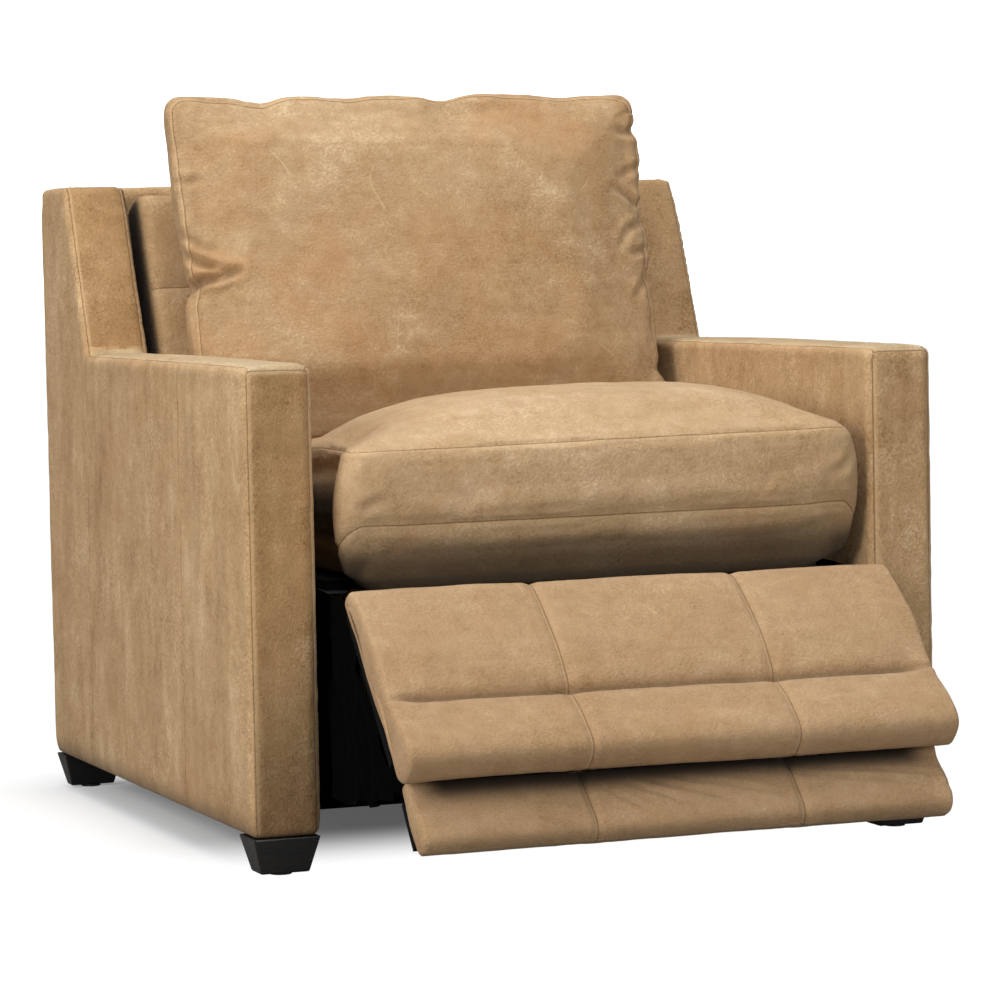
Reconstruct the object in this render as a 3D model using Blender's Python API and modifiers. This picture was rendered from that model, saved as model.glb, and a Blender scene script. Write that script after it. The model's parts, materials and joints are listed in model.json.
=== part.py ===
"""Recliner armchair with a leather cover, a two-stage footrest linkage and a screw drive.

Units are metres, +Z is up and +X is to the right of someone who looks at the chair's front.
The pieces are first placed with Y = 0 at the arms' front plane and +Y to the rear.
The last step moves them so that the origin is at the centre of the footprint, on the floor.
A "side view" point is a complex number: forward distance from the arms' front plane + i * height.
"""
import cmath
import math

import bmesh
import bpy
from mathutils import Vector

# Shell: the two arms with their wings, the outside back, the feet
CHAIR_WIDTH = 0.9435
CHAIR_DEPTH = 0.973
ARM_WIDTH = 0.0877
ARM_TOP = 0.635
WING_TOP = 0.875
WING_TOP_DEPTH = 0.131
WING_ARM_DEPTH = 0.231
SHELL_BOTTOM = 0.0494
SHELL_ROUND = 0.006
BACK_PANEL_THICKNESS = 0.040
BACK_PANEL_ROUND = 0.004
FOOT_TOP_DEPTH_FRONT = 0.065
FOOT_TOP_DEPTH_REAR = 0.050
FOOT_TAPER = 0.012
FOOT_ROUND = 0.002
GLIDE_THICKNESS = 0.003
GLIDE_RADIUS = 0.014
FIT_GAP = 0.0003
MERGE_DISTANCE = 0.00001

# Seat: deck board, cushion
SEAT_SIDE_ROOM = 0.020
SEAT_FRONT_REACH = 0.013
SEAT_TOP_SEAM = 0.534
SEAT_BOTTOM_SEAM = 0.433
SEAT_CROWN_TOP = 0.590
SEAT_REAR_ROOM = 0.283
SEAT_LIP_DEPTH = 0.092
SEAT_LIP_BOTTOM = 0.343
SEAT_LIP_RELIEF = 0.007
SEAT_LIP_REST = 0.036
SEAT_UNDER_SHARES = ((0.66, 0.0), (0.28, 0.32), (-0.04, 0.82))
SEAT_FRONT_SHARES = ((0.95, 0.06), (1.40, 0.50), (1.05, 0.96))
SEAT_TOP_SHARES = ((0.013, 0.30), (0.10, 0.80), (0.30, 1.0), (0.62, 0.70), (0.93, -0.12))
SEAT_REAR_SHARES = (0.78, 0.20)
SEAT_REST_SHARES = (0.97, 0.50)
SEAT_END_SHARES = ((1.0, 0.80, 0.62, 0.88), (0.99, 0.50, 0.88, 0.96), (0.93, 0.12, 0.96, 0.995),
                   (0.62, 0.0, 0.99, 1.0), (0.22, 0.0, 1.0, 1.0))
DECK_THICKNESS = 0.012
DECK_SIDE_ROOM = 0.046
DECK_FRONT = 0.096
DECK_DEPTH_SHARE = 0.88

# Reclining back: frame and pillow
BACK_LEAN = math.radians(22.0)
BACK_HINGE_REAR_ROOM = 0.273
BACK_HINGE_HEIGHT = 0.400
BACK_FACE_OFFSET = 0.032
BACK_FRAME_THICKNESS = 0.070
BACK_FRAME_SIDE_ROOM = 0.020
BACK_FRAME_FOOT = 0.060
BACK_FRAME_TOP = 0.492
BACK_FRAME_ROUND = 0.018
BRACKET_TOP_SHARES = (0.15, 0.85)
PILLOW_LEAN = math.radians(15.0)
PILLOW_SIDE_ROOM = 0.031
PILLOW_WAIST = 0.006
PILLOW_REAR_DRAW = 0.022
PILLOW_REAR_ROOM = 0.314
PILLOW_BOTTOM = 0.537
PILLOW_HEIGHT = 0.464
PILLOW_FRONT = 0.088
PILLOW_CROWN = 0.024
PILLOW_CLEARANCE = 0.0005
PILLOW_FRONT_SHARES = ((0.03, -0.58, 0.0), (0.0, 0.0, 0.0), (0.01, 0.80, 0.0), (0.09, 0.95, 0.40), (0.28, 1.0, 0.95),
                       (0.50, 1.0, 1.0), (0.75, 1.0, 0.50), (0.95, 0.92, 0.0), (1.02, 0.45, 0.0),
                       (1.01, -0.35, 0.0), (0.94, -0.80, 0.0))
PILLOW_REST_SHARES = (0.86, 0.62, 0.42)
PILLOW_END_SHARES = ((1.0, 0.17), (0.99, 0.07), (0.93, 0.03), (0.62, 0.01), (0.24, 0.0))

# Footrest panel, as it stands closed, and the point that its linkage swings it about
PANEL_SIDE_ROOM = 0.010
PANEL_LENGTH = 0.288
PANEL_CLOSED_TOP = 0.352
PANEL_PAD_THICKNESS = 0.032
PANEL_BOARD_THICKNESS = 0.012
PANEL_BOARD_SHORT = 0.050
PANEL_CHANNEL_FROM_TOP = 0.190
PANEL_CHANNEL_DEPTH = 0.011
PANEL_CROWN = 0.007
PAD_TOP_SHARES = ((0.0, -0.6, -0.50), (0.010, 0.0, -0.10))
PAD_RISE_SHARE = 0.15
PAD_CHANNEL_SHARES = (0.62, 0.90, 0.055)
PAD_CHANNEL_EDGE_SHARES = (0.25, 0.15)
PAD_NOSE_SHARES = ((0.88, 0.0), (0.985, -0.28), (1.0, -0.62), (0.94, -1.0), (0.50, -1.0))
PLAIN_PAD_SHARES = ((0.55, 0.0), (0.84, -0.03))
PAD_END_SHARES = ((1.0, 0.05), (0.99, 0.01), (0.92, 0.0), (0.36, 0.0))
SWING_CENTRE_FORWARD = 0.024
SWING_CENTRE_HEIGHT = 0.458
REST_OPENING = math.radians(41.8)

# Flipper panel below the footrest, in the panel's own measures: along its face, out of its face
FLIPPER_SIDE_ROOM = 0.025
FLIPPER_LENGTH = 0.090
FLIPPER_START = 0.270
FLIPPER_FACE_SETBACK = 0.036
FLIPPER_TILT = math.radians(-5.0)
FLIPPER_PAD_THICKNESS = 0.024
FLIPPER_BOARD_THICKNESS = 0.009
FLIPPER_BOARD_SHORT = 0.018
FLIPPER_EAR_SHARES = (0.20, 0.55)
ROCKER_PIVOT_ALONG = 0.2476
ROCKER_PIVOT_BEHIND = 0.140
ROCKER_END_ALONG = 0.2600
ROCKER_END_BEHIND = 0.083

# Steel linkage, repeated on both sides
PLATE = 0.003
PLATE_GAP = 0.0006
BAR_HALF_WIDTH = 0.011
HINGE_EAR_RADIUS = 0.0165
HINGE_EAR_ROOT = 0.033
EAR_ROOT_ALONG = 0.176
EAR_BEND_ALONG = 0.200
EAR_BEND_BEHIND = 0.128
RIVET_RADIUS = 0.004
RIVET_CLEARANCE = 0.0004
RIVET_HEAD_RADIUS = 0.0075
RIVET_HEAD = 0.0016
SLIDE_ROOM = 0.038
FRONT_PIVOT_SETBACK = 0.105
FRONT_PIVOT_HEIGHT = 0.320
REAR_PIVOT_SPACING = 0.085
REAR_PIVOT_RISE = 0.010
BRACKET_UPPER_PIVOT = 0.035
BRACKET_LOWER_PIVOT = 0.125
BRACKET_PIVOT_BEHIND = 0.056
FLANGE_WIDTH = 0.030
BRACKET_FLANGE = 0.011
FIXED_PLATE_FRONT = 0.080
FIXED_PLATE_REAR = 0.330
FIXED_PLATE_DROP = 0.020
FIXED_PLATE_TOP = 0.3435
TUBE_SHARE = 0.36
TUBE_RADIUS = 0.009
TUBE_WALL = 0.0015
FLIPPER_GEAR_INSET = 0.076

# Seat slide and the drive
RAIL_HEIGHT = 0.030
RAIL_BOTTOM = 0.300
RAIL_FRONT = 0.080
RAIL_REAR_ROOM = 0.093
RUNNER_REAR_ROOM = 0.233
RAIL_WEB = 0.003
LUG_RADIUS = 0.112
LUG_HALF_SWING = math.radians(45.0)
LUG_PIN_RADIUS = 0.005
DRIVE_RATE_SHARE = 0.925
SLOT_CLEARANCE = 0.001
YOKE_SLOT_HALF_WIDTH = 0.0080
YOKE_HALF_WIDTH = 0.016
YOKE_WALL = 0.005
YOKE_HALF_THICKNESS = 0.006
NUT_HALF = 0.012
SCREW_RADIUS = 0.006
SCREW_FRONT = 0.078
SCREW_LENGTH = 0.240
HANGER_THICKNESS = 0.004
HANGER_FOOT = 0.022
MOTOR_RADIUS = 0.030
MOTOR_LENGTH = 0.090
GEARBOX_SIZE = 0.064
GEARBOX_LENGTH = 0.060
GEARBOX_ROUND = 0.006

# Base cross rails, dust cover, hand switch
CROSS_RAIL_HEIGHT = 0.045
CROSS_RAIL_DEPTH = 0.020
FRONT_CROSS_SETBACK = 0.260
CLOTH_THICKNESS = 0.0015
CLOTH_FRONT_SETBACK = 0.215
SWITCH_LENGTH = 0.078
SWITCH_HEIGHT = 0.034
SWITCH_THICKNESS = 0.007
SWITCH_SETBACK = 0.150
SWITCH_DROP = 0.035
SWITCH_FLOOR = 0.0015
BUTTON_LENGTH = 0.026
BUTTON_HEIGHT = 0.020
BUTTON_SPACING = 0.034
BUTTON_CLEARANCE = 0.0006
BUTTON_PROUD = 0.0015
BUTTON_TRAVEL = 0.002

CURVE_STEPS = 6
HOLE_SIDES = 16
TURNED_SIDES = 24
CUTTER_OVERRUN = 0.010

# Sizes that follow from the ones above
INNER_HALF_WIDTH = CHAIR_WIDTH / 2 - ARM_WIDTH
SEAT_HALF_WIDTH = INNER_HALF_WIDTH - SEAT_SIDE_ROOM
DECK_HALF_WIDTH = INNER_HALF_WIDTH - DECK_SIDE_ROOM
BACK_FRAME_HALF_WIDTH = INNER_HALF_WIDTH - BACK_FRAME_SIDE_ROOM
PILLOW_HALF_WIDTH = INNER_HALF_WIDTH - PILLOW_SIDE_ROOM
PANEL_HALF_WIDTH = INNER_HALF_WIDTH - PANEL_SIDE_ROOM
FLIPPER_HALF_WIDTH = INNER_HALF_WIDTH - FLIPPER_SIDE_ROOM
FIXED_PLATE_OUTSIDE = INNER_HALF_WIDTH - SLIDE_ROOM
FLIPPER_GEAR_X = FIXED_PLATE_OUTSIDE - FLIPPER_GEAR_INSET
SEAT_DEPTH = CHAIR_DEPTH - SEAT_REAR_ROOM
PILLOW_SETBACK = CHAIR_DEPTH - PILLOW_REAR_ROOM
BACK_HINGE_SETBACK = CHAIR_DEPTH - BACK_HINGE_REAR_ROOM
RAIL_REAR = CHAIR_DEPTH - RAIL_REAR_ROOM
RUNNER_REAR = CHAIR_DEPTH - RUNNER_REAR_ROOM
SWITCH_CENTRE_HEIGHT = ARM_TOP - SWITCH_DROP
SWING_CENTRE = complex(SWING_CENTRE_FORWARD, SWING_CENTRE_HEIGHT)
FRONT_PIVOT = complex(-FRONT_PIVOT_SETBACK, FRONT_PIVOT_HEIGHT)
REAR_PIVOT = FRONT_PIVOT + complex(-REAR_PIVOT_SPACING, REAR_PIVOT_RISE)
BACK_HINGE = complex(-BACK_HINGE_SETBACK, BACK_HINGE_HEIGHT)

# Layers of the linkage, from the fixed plate inwards: distance of each plate's outer face from the middle
LAYER_FIXED = FIXED_PLATE_OUTSIDE
LAYER_ARMS = LAYER_FIXED - PLATE - PLATE_GAP
LAYER_LINKS = LAYER_ARMS - PLATE - PLATE_GAP
LAYER_HEADS = LAYER_LINKS - PLATE - PLATE_GAP

LEATHER = ("leather", (0.62, 0.44, 0.27), 0.72, 0.0)
BLACK_WOOD = ("black_wood", (0.02, 0.018, 0.017), 0.35, 0.0)
PLYWOOD = ("plywood", (0.55, 0.42, 0.27), 0.7, 0.0)
BLACK_STEEL = ("black_steel", (0.03, 0.03, 0.032), 0.45, 0.6)
BRIGHT_STEEL = ("bright_steel", (0.55, 0.55, 0.56), 0.35, 1.0)
BLACK_PLASTIC = ("black_plastic", (0.025, 0.025, 0.027), 0.5, 0.0)
BLACK_CLOTH = ("black_cloth", (0.02, 0.02, 0.022), 0.95, 0.0)


def clear_scene():
    """Removes whatever the file holds."""
    for thing in list(bpy.data.objects):
        bpy.data.objects.remove(thing, do_unlink=True)


def collection(name):
    """Adds a collection to the scene."""
    group = bpy.data.collections.new(name)
    bpy.context.scene.collection.children.link(group)
    return group


clear_scene()
CHAIR = collection("recliner_chair")
CUTTERS = collection("cutters")


def finish_of(look):
    """Gives the Principled material of one finish, made once."""
    name, colour, roughness, metallic = look
    found = bpy.data.materials.get(name)
    if found:
        return found
    made = bpy.data.materials.new(name)
    made.use_nodes = True
    shader = made.node_tree.nodes["Principled BSDF"]
    shader.inputs["Base Color"].default_value = (*colour, 1.0)
    shader.inputs["Roughness"].default_value = roughness
    shader.inputs["Metallic"].default_value = metallic
    made.diffuse_color = (*colour, 1.0)
    return made


def place(thing, name, look, group=None):
    """Names an object, gives it its finish and moves it to its collection."""
    thing.name = name
    thing.data.name = name
    thing.data.materials.clear()
    thing.data.materials.append(finish_of(look))
    for old in list(thing.users_collection):
        old.objects.unlink(thing)
    (group or CHAIR).objects.link(thing)
    return thing


def as_cutter(thing):
    """Turns an object into a hidden cutter."""
    thing.hide_render = True
    thing.display_type = "WIRE"
    return thing


def bevel(thing, width, segments=3):
    """Rounds the sharp edges."""
    rounding = thing.modifiers.new("Rounding", "BEVEL")
    rounding.width = width
    rounding.segments = segments
    rounding.limit_method = "ANGLE"
    rounding.angle_limit = math.radians(35)
    return thing


def soften(thing, levels):
    """Adds a Subdivision Surface."""
    smooth = thing.modifiers.new("Soft form", "SUBSURF")
    smooth.levels = levels
    smooth.render_levels = levels
    return thing


def join_shapes(thing, other, operation):
    """Cuts with, or unites with, another object through an exact Boolean."""
    step = thing.modifiers.new(operation.title(), "BOOLEAN")
    step.operation = operation
    step.solver = "EXACT"
    step.object = other
    return thing


def box(name, low, high, look, group=None):
    """A box between two corners: (x, y, z) low and high."""
    bpy.ops.mesh.primitive_cube_add(size=1)
    thing = bpy.context.object
    size = [b - a for a, b in zip(low, high)]
    middle = [(a + b) / 2 for a, b in zip(low, high)]
    thing.scale = size
    bpy.ops.object.transform_apply(location=False, rotation=False, scale=True)
    thing.location = middle
    return place(thing, name, look, group)


def turned(name, radius, start, end, look, group=None, sides=TURNED_SIDES):
    """A round bar between two points."""
    start = Vector(start)
    end = Vector(end)
    bpy.ops.mesh.primitive_cylinder_add(radius=radius, depth=(end - start).length, vertices=sides)
    thing = bpy.context.object
    thing.rotation_euler = (end - start).to_track_quat("Z", "Y").to_euler()
    thing.location = (start + end) / 2
    return place(thing, name, look, group)


def set_origin(thing, point):
    """Moves an object's origin to a point, so that it lies on the joint's axis."""
    bpy.context.view_layer.update()
    shift = thing.matrix_world.inverted() @ Vector(point)
    for vertex in thing.data.vertices:
        vertex.co -= shift
    thing.location = point
    return thing


def on_axis(side_point):
    """The place on the chair's middle plane of a side-view point."""
    return (0.0, -side_point.real, side_point.imag)


def circle_points(centre, radius, sides):
    """Points of a circle in side view."""
    return [centre + cmath.rect(radius, math.tau * k / sides) for k in range(sides)]


def round_bar(points, half_width, steps=CURVE_STEPS):
    """Outline of a flat bar along two or three pivots, with round ends and a mitred bend."""
    first = (points[1] - points[0]) / abs(points[1] - points[0])
    last = (points[-1] - points[-2]) / abs(points[-1] - points[-2])
    right = []
    left = []
    for before, at, after in zip(points, points[1:], points[2:]):
        into = (at - before) / abs(at - before)
        out = (after - at) / abs(after - at)
        bisector = (into + out) / abs(into + out)
        reach = half_width / (bisector * into.conjugate()).real
        right.append(at - 1j * bisector * reach)
        left.append(at + 1j * bisector * reach)
    far_end = [points[-1] + half_width * last * cmath.rect(1, math.pi * (k / steps - 0.5))
               for k in range(steps + 1)]
    near_end = [points[0] - half_width * first * cmath.rect(1, math.pi * (k / steps - 0.5))
                for k in range(steps + 1)]
    return right + far_end + list(reversed(left)) + near_end


def side_plate(name, outline, holes, outer_x, thickness, look, side, group=None):
    """A flat plate in side view, with round holes, from outer_x inwards on one side of the chair."""
    shape = bpy.data.curves.new(name, "CURVE")
    shape.dimensions = "2D"
    shape.fill_mode = "BOTH"
    shape.extrude = thickness / 2
    loops = [outline] + [circle_points(centre, radius, HOLE_SIDES) for centre, radius in holes]
    for loop in loops:
        line = shape.splines.new("POLY")
        line.points.add(len(loop) - 1)
        for point, at in zip(line.points, loop):
            point.co = (-at.real, at.imag, 0.0, 1.0)
        line.use_cyclic_u = True
    flat = bpy.data.objects.new(name + "_outline", shape)
    (group or CHAIR).objects.link(flat)
    flat.rotation_euler = (math.pi / 2, 0.0, math.pi / 2)
    flat.location = (side * (outer_x - thickness / 2), 0.0, 0.0)
    bpy.context.view_layer.update()
    solid = bpy.data.meshes.new_from_object(flat.evaluated_get(bpy.context.evaluated_depsgraph_get()))
    work = bmesh.new()
    work.from_mesh(solid)
    bmesh.ops.remove_doubles(work, verts=work.verts, dist=MERGE_DISTANCE)
    bmesh.ops.recalc_face_normals(work, faces=work.faces)
    work.transform(flat.matrix_world)
    work.to_mesh(solid)
    work.free()
    bpy.data.objects.remove(flat)
    thing = bpy.data.objects.new(name, solid)
    bpy.context.scene.collection.objects.link(thing)
    return place(thing, name, look, group)


def rivet(name, at, inner_x, outer_x, side, head_inside=True):
    """A rivet through neighbouring plates, as a guide to unite with the plate that carries it."""
    shank = turned(name, RIVET_RADIUS, (side * inner_x, -at.real, at.imag),
                   (side * outer_x, -at.real, at.imag), BRIGHT_STEEL, CUTTERS, HOLE_SIDES)
    head_end = inner_x if head_inside else outer_x
    head_from = head_end + RIVET_HEAD if head_inside else head_end - RIVET_HEAD
    head = turned(name + "_head", RIVET_HEAD_RADIUS, (side * head_from, -at.real, at.imag),
                  (side * (head_end - (RIVET_HEAD if head_inside else -RIVET_HEAD) / 4), -at.real, at.imag),
                  BRIGHT_STEEL, CUTTERS, HOLE_SIDES)
    as_cutter(head)
    join_shapes(shank, head, "UNION")
    return as_cutter(shank)


def loft(name, rings, look, group=None):
    """A closed form through rings of points, each given as (x, side-view point)."""
    work = bmesh.new()
    corners = [[work.verts.new((x, -at.real, at.imag)) for x, at in ring] for ring in rings]
    for here, there in zip(corners, corners[1:]):
        for k, corner in enumerate(here):
            after = (k + 1) % len(here)
            work.faces.new((corner, here[after], there[after], there[k]))
    work.faces.new(list(reversed(corners[0])))
    work.faces.new(corners[-1])
    bmesh.ops.recalc_face_normals(work, faces=work.faces)
    mesh = bpy.data.meshes.new(name)
    work.to_mesh(mesh)
    work.free()
    thing = bpy.data.objects.new(name, mesh)
    bpy.context.scene.collection.objects.link(thing)
    return place(thing, name, look, group)


def flat_ring(x, section):
    """A ring of a loft that lies in one plane across X."""
    return [(x, at) for at in section]


def drawn_in(section, share):
    """Draws a section in towards its middle."""
    middle = sum(section) / len(section)
    return [middle + (at - middle) * (1 - share) for at in section]


def pad_rings(half_width, section, end_shares):
    """Rings of a pad from side to side: (share of the half width, share drawn in)."""
    near = [flat_ring(-half_width * across, drawn_in(section, inward)) for across, inward in end_shares]
    far = [flat_ring(half_width * across, drawn_in(section, inward)) for across, inward in reversed(end_shares)]
    return near + far


# Side-view frames: each turns (along, out) measures of a piece into a side-view point
def panel_point(along, out):
    """A point of the footrest panel at rest: along its face from its top edge, and out of its face."""
    turn = cmath.rect(1, REST_OPENING)
    closed = complex(out, PANEL_CLOSED_TOP - along)
    return SWING_CENTRE + (closed - SWING_CENTRE) * turn


def flipper_point(along, out):
    """A point of the flipper at rest: along its face from its top edge, and out of its face."""
    turn = cmath.rect(1, FLIPPER_TILT)
    local = complex(FLIPPER_START, -FLIPPER_FACE_SETBACK) + complex(along, out) * turn
    return panel_point(local.real, local.imag)


def back_point(up, out):
    """A point of the leaning back: up along it from its hinge, and out of its front face."""
    upward = cmath.rect(1, math.pi / 2 + BACK_LEAN)
    return BACK_HINGE + up * upward + (BACK_FACE_OFFSET + out) * upward * -1j


def arm(name, side):
    """Arm with its wing: one upholstered frame, outlined in side view."""
    deep = -CHAIR_DEPTH
    outline = [complex(0, SHELL_BOTTOM), complex(0, ARM_TOP),
               complex(deep + WING_ARM_DEPTH, ARM_TOP), complex(deep + WING_TOP_DEPTH, WING_TOP),
               complex(deep, WING_TOP), complex(deep, SHELL_BOTTOM)]
    thing = side_plate(name, outline, [], CHAIR_WIDTH / 2, ARM_WIDTH, LEATHER, side)
    return bevel(thing, SHELL_ROUND)


def foot(name, side, front):
    """Tapered block foot under an arm, drawn in at the floor on every side."""
    depth = FOOT_TOP_DEPTH_FRONT if front else FOOT_TOP_DEPTH_REAR
    near = 0.0 if front else CHAIR_DEPTH - depth
    top = SHELL_BOTTOM - FIT_GAP
    low = (side * (CHAIR_WIDTH / 2 - ARM_WIDTH / 2) - ARM_WIDTH / 2, near, GLIDE_THICKNESS)
    high = (low[0] + ARM_WIDTH, near + depth, top)
    thing = box(name, low, high, BLACK_WOOD)
    for vertex in thing.data.vertices:
        if vertex.co.z < 0:
            vertex.co.x -= math.copysign(FOOT_TAPER, vertex.co.x)
            vertex.co.y -= math.copysign(FOOT_TAPER, vertex.co.y)
    return bevel(thing, FOOT_ROUND, 2)


def glide(name, side, front):
    """Plastic glide disc under a foot."""
    depth = FOOT_TOP_DEPTH_FRONT if front else FOOT_TOP_DEPTH_REAR
    setback = depth / 2 if front else CHAIR_DEPTH - depth / 2
    across = side * (CHAIR_WIDTH / 2 - ARM_WIDTH / 2)
    return turned(name, GLIDE_RADIUS, (across, setback, 0.0),
                  (across, setback, GLIDE_THICKNESS - FIT_GAP), BLACK_PLASTIC)


def shell():
    """Everything that stands still: arms, outside back, feet, cross rails, dust cover, slide rails."""
    for word, side in (("left", -1), ("right", 1)):
        arm("arm_" + word, side)
        for place_word, front in (("front", True), ("rear", False)):
            foot("foot_%s_%s" % (place_word, word), side, front)
            glide("glide_%s_%s" % (place_word, word), side, front)
        fixed_rail(word, side)
    inside = INNER_HALF_WIDTH - FIT_GAP
    panel = box("outside_back", (-inside, CHAIR_DEPTH - BACK_PANEL_THICKNESS, SHELL_BOTTOM),
                (inside, CHAIR_DEPTH, WING_TOP), LEATHER)
    bevel(panel, BACK_PANEL_ROUND, 2)
    rear = CHAIR_DEPTH - BACK_PANEL_THICKNESS - FIT_GAP
    for name, near in (("front_cross_rail", FRONT_CROSS_SETBACK), ("rear_cross_rail", rear - CROSS_RAIL_DEPTH)):
        box(name, (-inside, near, SHELL_BOTTOM + CLOTH_THICKNESS + FIT_GAP),
            (inside, near + CROSS_RAIL_DEPTH, SHELL_BOTTOM + CROSS_RAIL_HEIGHT), BLACK_STEEL)
    box("dust_cover", (-inside, CLOTH_FRONT_SETBACK, SHELL_BOTTOM),
        (inside, rear, SHELL_BOTTOM + CLOTH_THICKNESS), BLACK_CLOTH)


def fixed_rail(word, side):
    """Channel on the arm's inner face, open towards the middle, that the runner slides in."""
    web = INNER_HALF_WIDTH - FIT_GAP
    tip = (INNER_HALF_WIDTH + FIXED_PLATE_OUTSIDE) / 2
    rail = box("fixed_rail_" + word, *across(side, tip, web, RAIL_FRONT, RAIL_REAR, RAIL_BOTTOM,
                                             RAIL_BOTTOM + RAIL_HEIGHT), BLACK_STEEL)
    channel = as_cutter(box("rail_channel_" + word,
                            *across(side, tip - CUTTER_OVERRUN, web - RAIL_WEB, RAIL_FRONT - CUTTER_OVERRUN,
                                    RAIL_REAR + CUTTER_OVERRUN, RAIL_BOTTOM + RAIL_WEB,
                                    RAIL_BOTTOM + RAIL_HEIGHT - RAIL_WEB), BLACK_STEEL, CUTTERS))
    return join_shapes(rail, channel, "DIFFERENCE")


def across(side, inner, outer, front, rear, low, high):
    """Corners of a box on one side of the chair, given its distances from the middle."""
    edges = sorted((side * inner, side * outer))
    return (edges[0], front, low), (edges[1], rear, high)


def runner(word, side):
    """Moving half of the slide: a web with the back's hinge ear, and two flanges inside the channel."""
    inner = FIXED_PLATE_OUTSIDE + FIT_GAP
    low = RAIL_BOTTOM + RAIL_WEB + FIT_GAP
    high = RAIL_BOTTOM + RAIL_HEIGHT - RAIL_WEB - FIT_GAP
    ear = HINGE_EAR_RADIUS
    hinge = BACK_HINGE
    outline = [complex(-RAIL_FRONT, low), complex(-RAIL_FRONT, high),
               complex(hinge.real + HINGE_EAR_ROOT, high), complex(hinge.real + ear, hinge.imag)]
    outline += [hinge + cmath.rect(ear, math.pi * k / CURVE_STEPS) for k in range(1, CURVE_STEPS)]
    outline += [complex(hinge.real - ear, hinge.imag), complex(-RUNNER_REAR, high), complex(-RUNNER_REAR, low)]
    web = side_plate("runner_" + word, outline, [], inner + RAIL_WEB, RAIL_WEB, BLACK_STEEL, side)
    tip = INNER_HALF_WIDTH - RAIL_WEB - 2 * FIT_GAP
    for key, near, far in (("low", low, low + RAIL_WEB), ("high", high - RAIL_WEB, high)):
        flange = box("runner_flange_%s_%s" % (key, word),
                     *across(side, inner + RAIL_WEB / 2, tip, RAIL_FRONT, RUNNER_REAR, near, far),
                     BLACK_STEEL, CUTTERS)
        join_shapes(web, as_cutter(flange), "UNION")
    pin = rivet("back_pin_" + word, hinge, FIXED_PLATE_OUTSIDE - PLATE - PLATE_GAP - RIVET_HEAD,
                inner + RAIL_WEB / 2, side)
    return join_shapes(web, pin, "UNION")


def seat_section(lift):
    """Side view of the seat cushion: boxed front with two seams, crowned top, lip before the deck.

    lift raises everything below the lower seam towards it, as at the cushion's ends.
    """
    deck_top = FIXED_PLATE_TOP + PLATE + DECK_THICKNESS + 3 * FIT_GAP
    top_rise = SEAT_CROWN_TOP - SEAT_TOP_SEAM
    lip_rise = SEAT_BOTTOM_SEAM - SEAT_LIP_BOTTOM
    boxing = SEAT_TOP_SEAM - SEAT_BOTTOM_SEAM
    depth = SEAT_DEPTH
    lip = SEAT_LIP_DEPTH
    under = [complex(-depth * back, deck_top) for back in SEAT_REST_SHARES]
    under += [complex(-lip - SEAT_LIP_REST, deck_top), complex(-lip, deck_top + SEAT_LIP_RELIEF),
              complex(-lip, SEAT_LIP_BOTTOM)]
    under += [complex(-lip * back, SEAT_LIP_BOTTOM + lip_rise * up) for back, up in SEAT_UNDER_SHARES]
    front = [complex(SEAT_FRONT_REACH * out, SEAT_BOTTOM_SEAM + boxing * up) for out, up in SEAT_FRONT_SHARES]
    top = [complex(-depth * back, SEAT_TOP_SEAM + top_rise * up) for back, up in SEAT_TOP_SHARES]
    rear_rise = top[-1].imag - deck_top
    rear = [complex(-depth, deck_top + rear_rise * up) for up in SEAT_REAR_SHARES]
    return [at + 1j * lift * (SEAT_BOTTOM_SEAM - at.imag) for at in under] + front + top + rear


def seat_cushion():
    """Seat cushion: a crowned, boxed form whose ends draw in below the lower seam."""
    middle = complex(-SEAT_DEPTH / 2, (SEAT_BOTTOM_SEAM + SEAT_TOP_SEAM) / 2)
    rings = []
    for share, lift, tall, deep in SEAT_END_SHARES:
        ring = [complex(middle.real + (at.real - middle.real) * deep,
                        middle.imag + (at.imag - middle.imag) * (tall if at.imag > middle.imag else 1.0))
                for at in seat_section(lift)]
        rings.append((SEAT_HALF_WIDTH * share, ring))
    both = [flat_ring(-x, ring) for x, ring in rings] + [flat_ring(x, ring) for x, ring in reversed(rings)]
    return soften(loft("seat_cushion", both, LEATHER), 1)


def seat():
    """Deck board and cushion on the carriage."""
    low = FIXED_PLATE_TOP + PLATE + FIT_GAP
    rear = DECK_FRONT + SEAT_DEPTH * DECK_DEPTH_SHARE
    box("seat_deck", (-DECK_HALF_WIDTH, DECK_FRONT, low), (DECK_HALF_WIDTH, rear, low + DECK_THICKNESS), PLYWOOD)
    seat_cushion()


def back_frame():
    """Inner back: the padded frame that leans behind the pillow and reclines."""
    thickness = BACK_FRAME_THICKNESS
    foot_up = BACK_FRAME_FOOT
    section = [back_point(foot_up, -thickness), back_point(foot_up, 0.0),
               back_point(BACK_FRAME_TOP, 0.0), back_point(BACK_FRAME_TOP, -thickness)]
    half = BACK_FRAME_HALF_WIDTH
    thing = loft("inner_back", [flat_ring(-half, section), flat_ring(half, section)], LEATHER)
    bevel(thing, BACK_FRAME_ROUND, 3)
    return set_origin(thing, on_axis(BACK_HINGE))


def pillow_point(up, out):
    """A point of the pillow: up along its own lean from its bottom, and out of its middle plane."""
    upward = cmath.rect(1, math.pi / 2 + PILLOW_LEAN)
    return complex(-PILLOW_SETBACK, PILLOW_BOTTOM) + up * upward + out * upward * -1j


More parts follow.
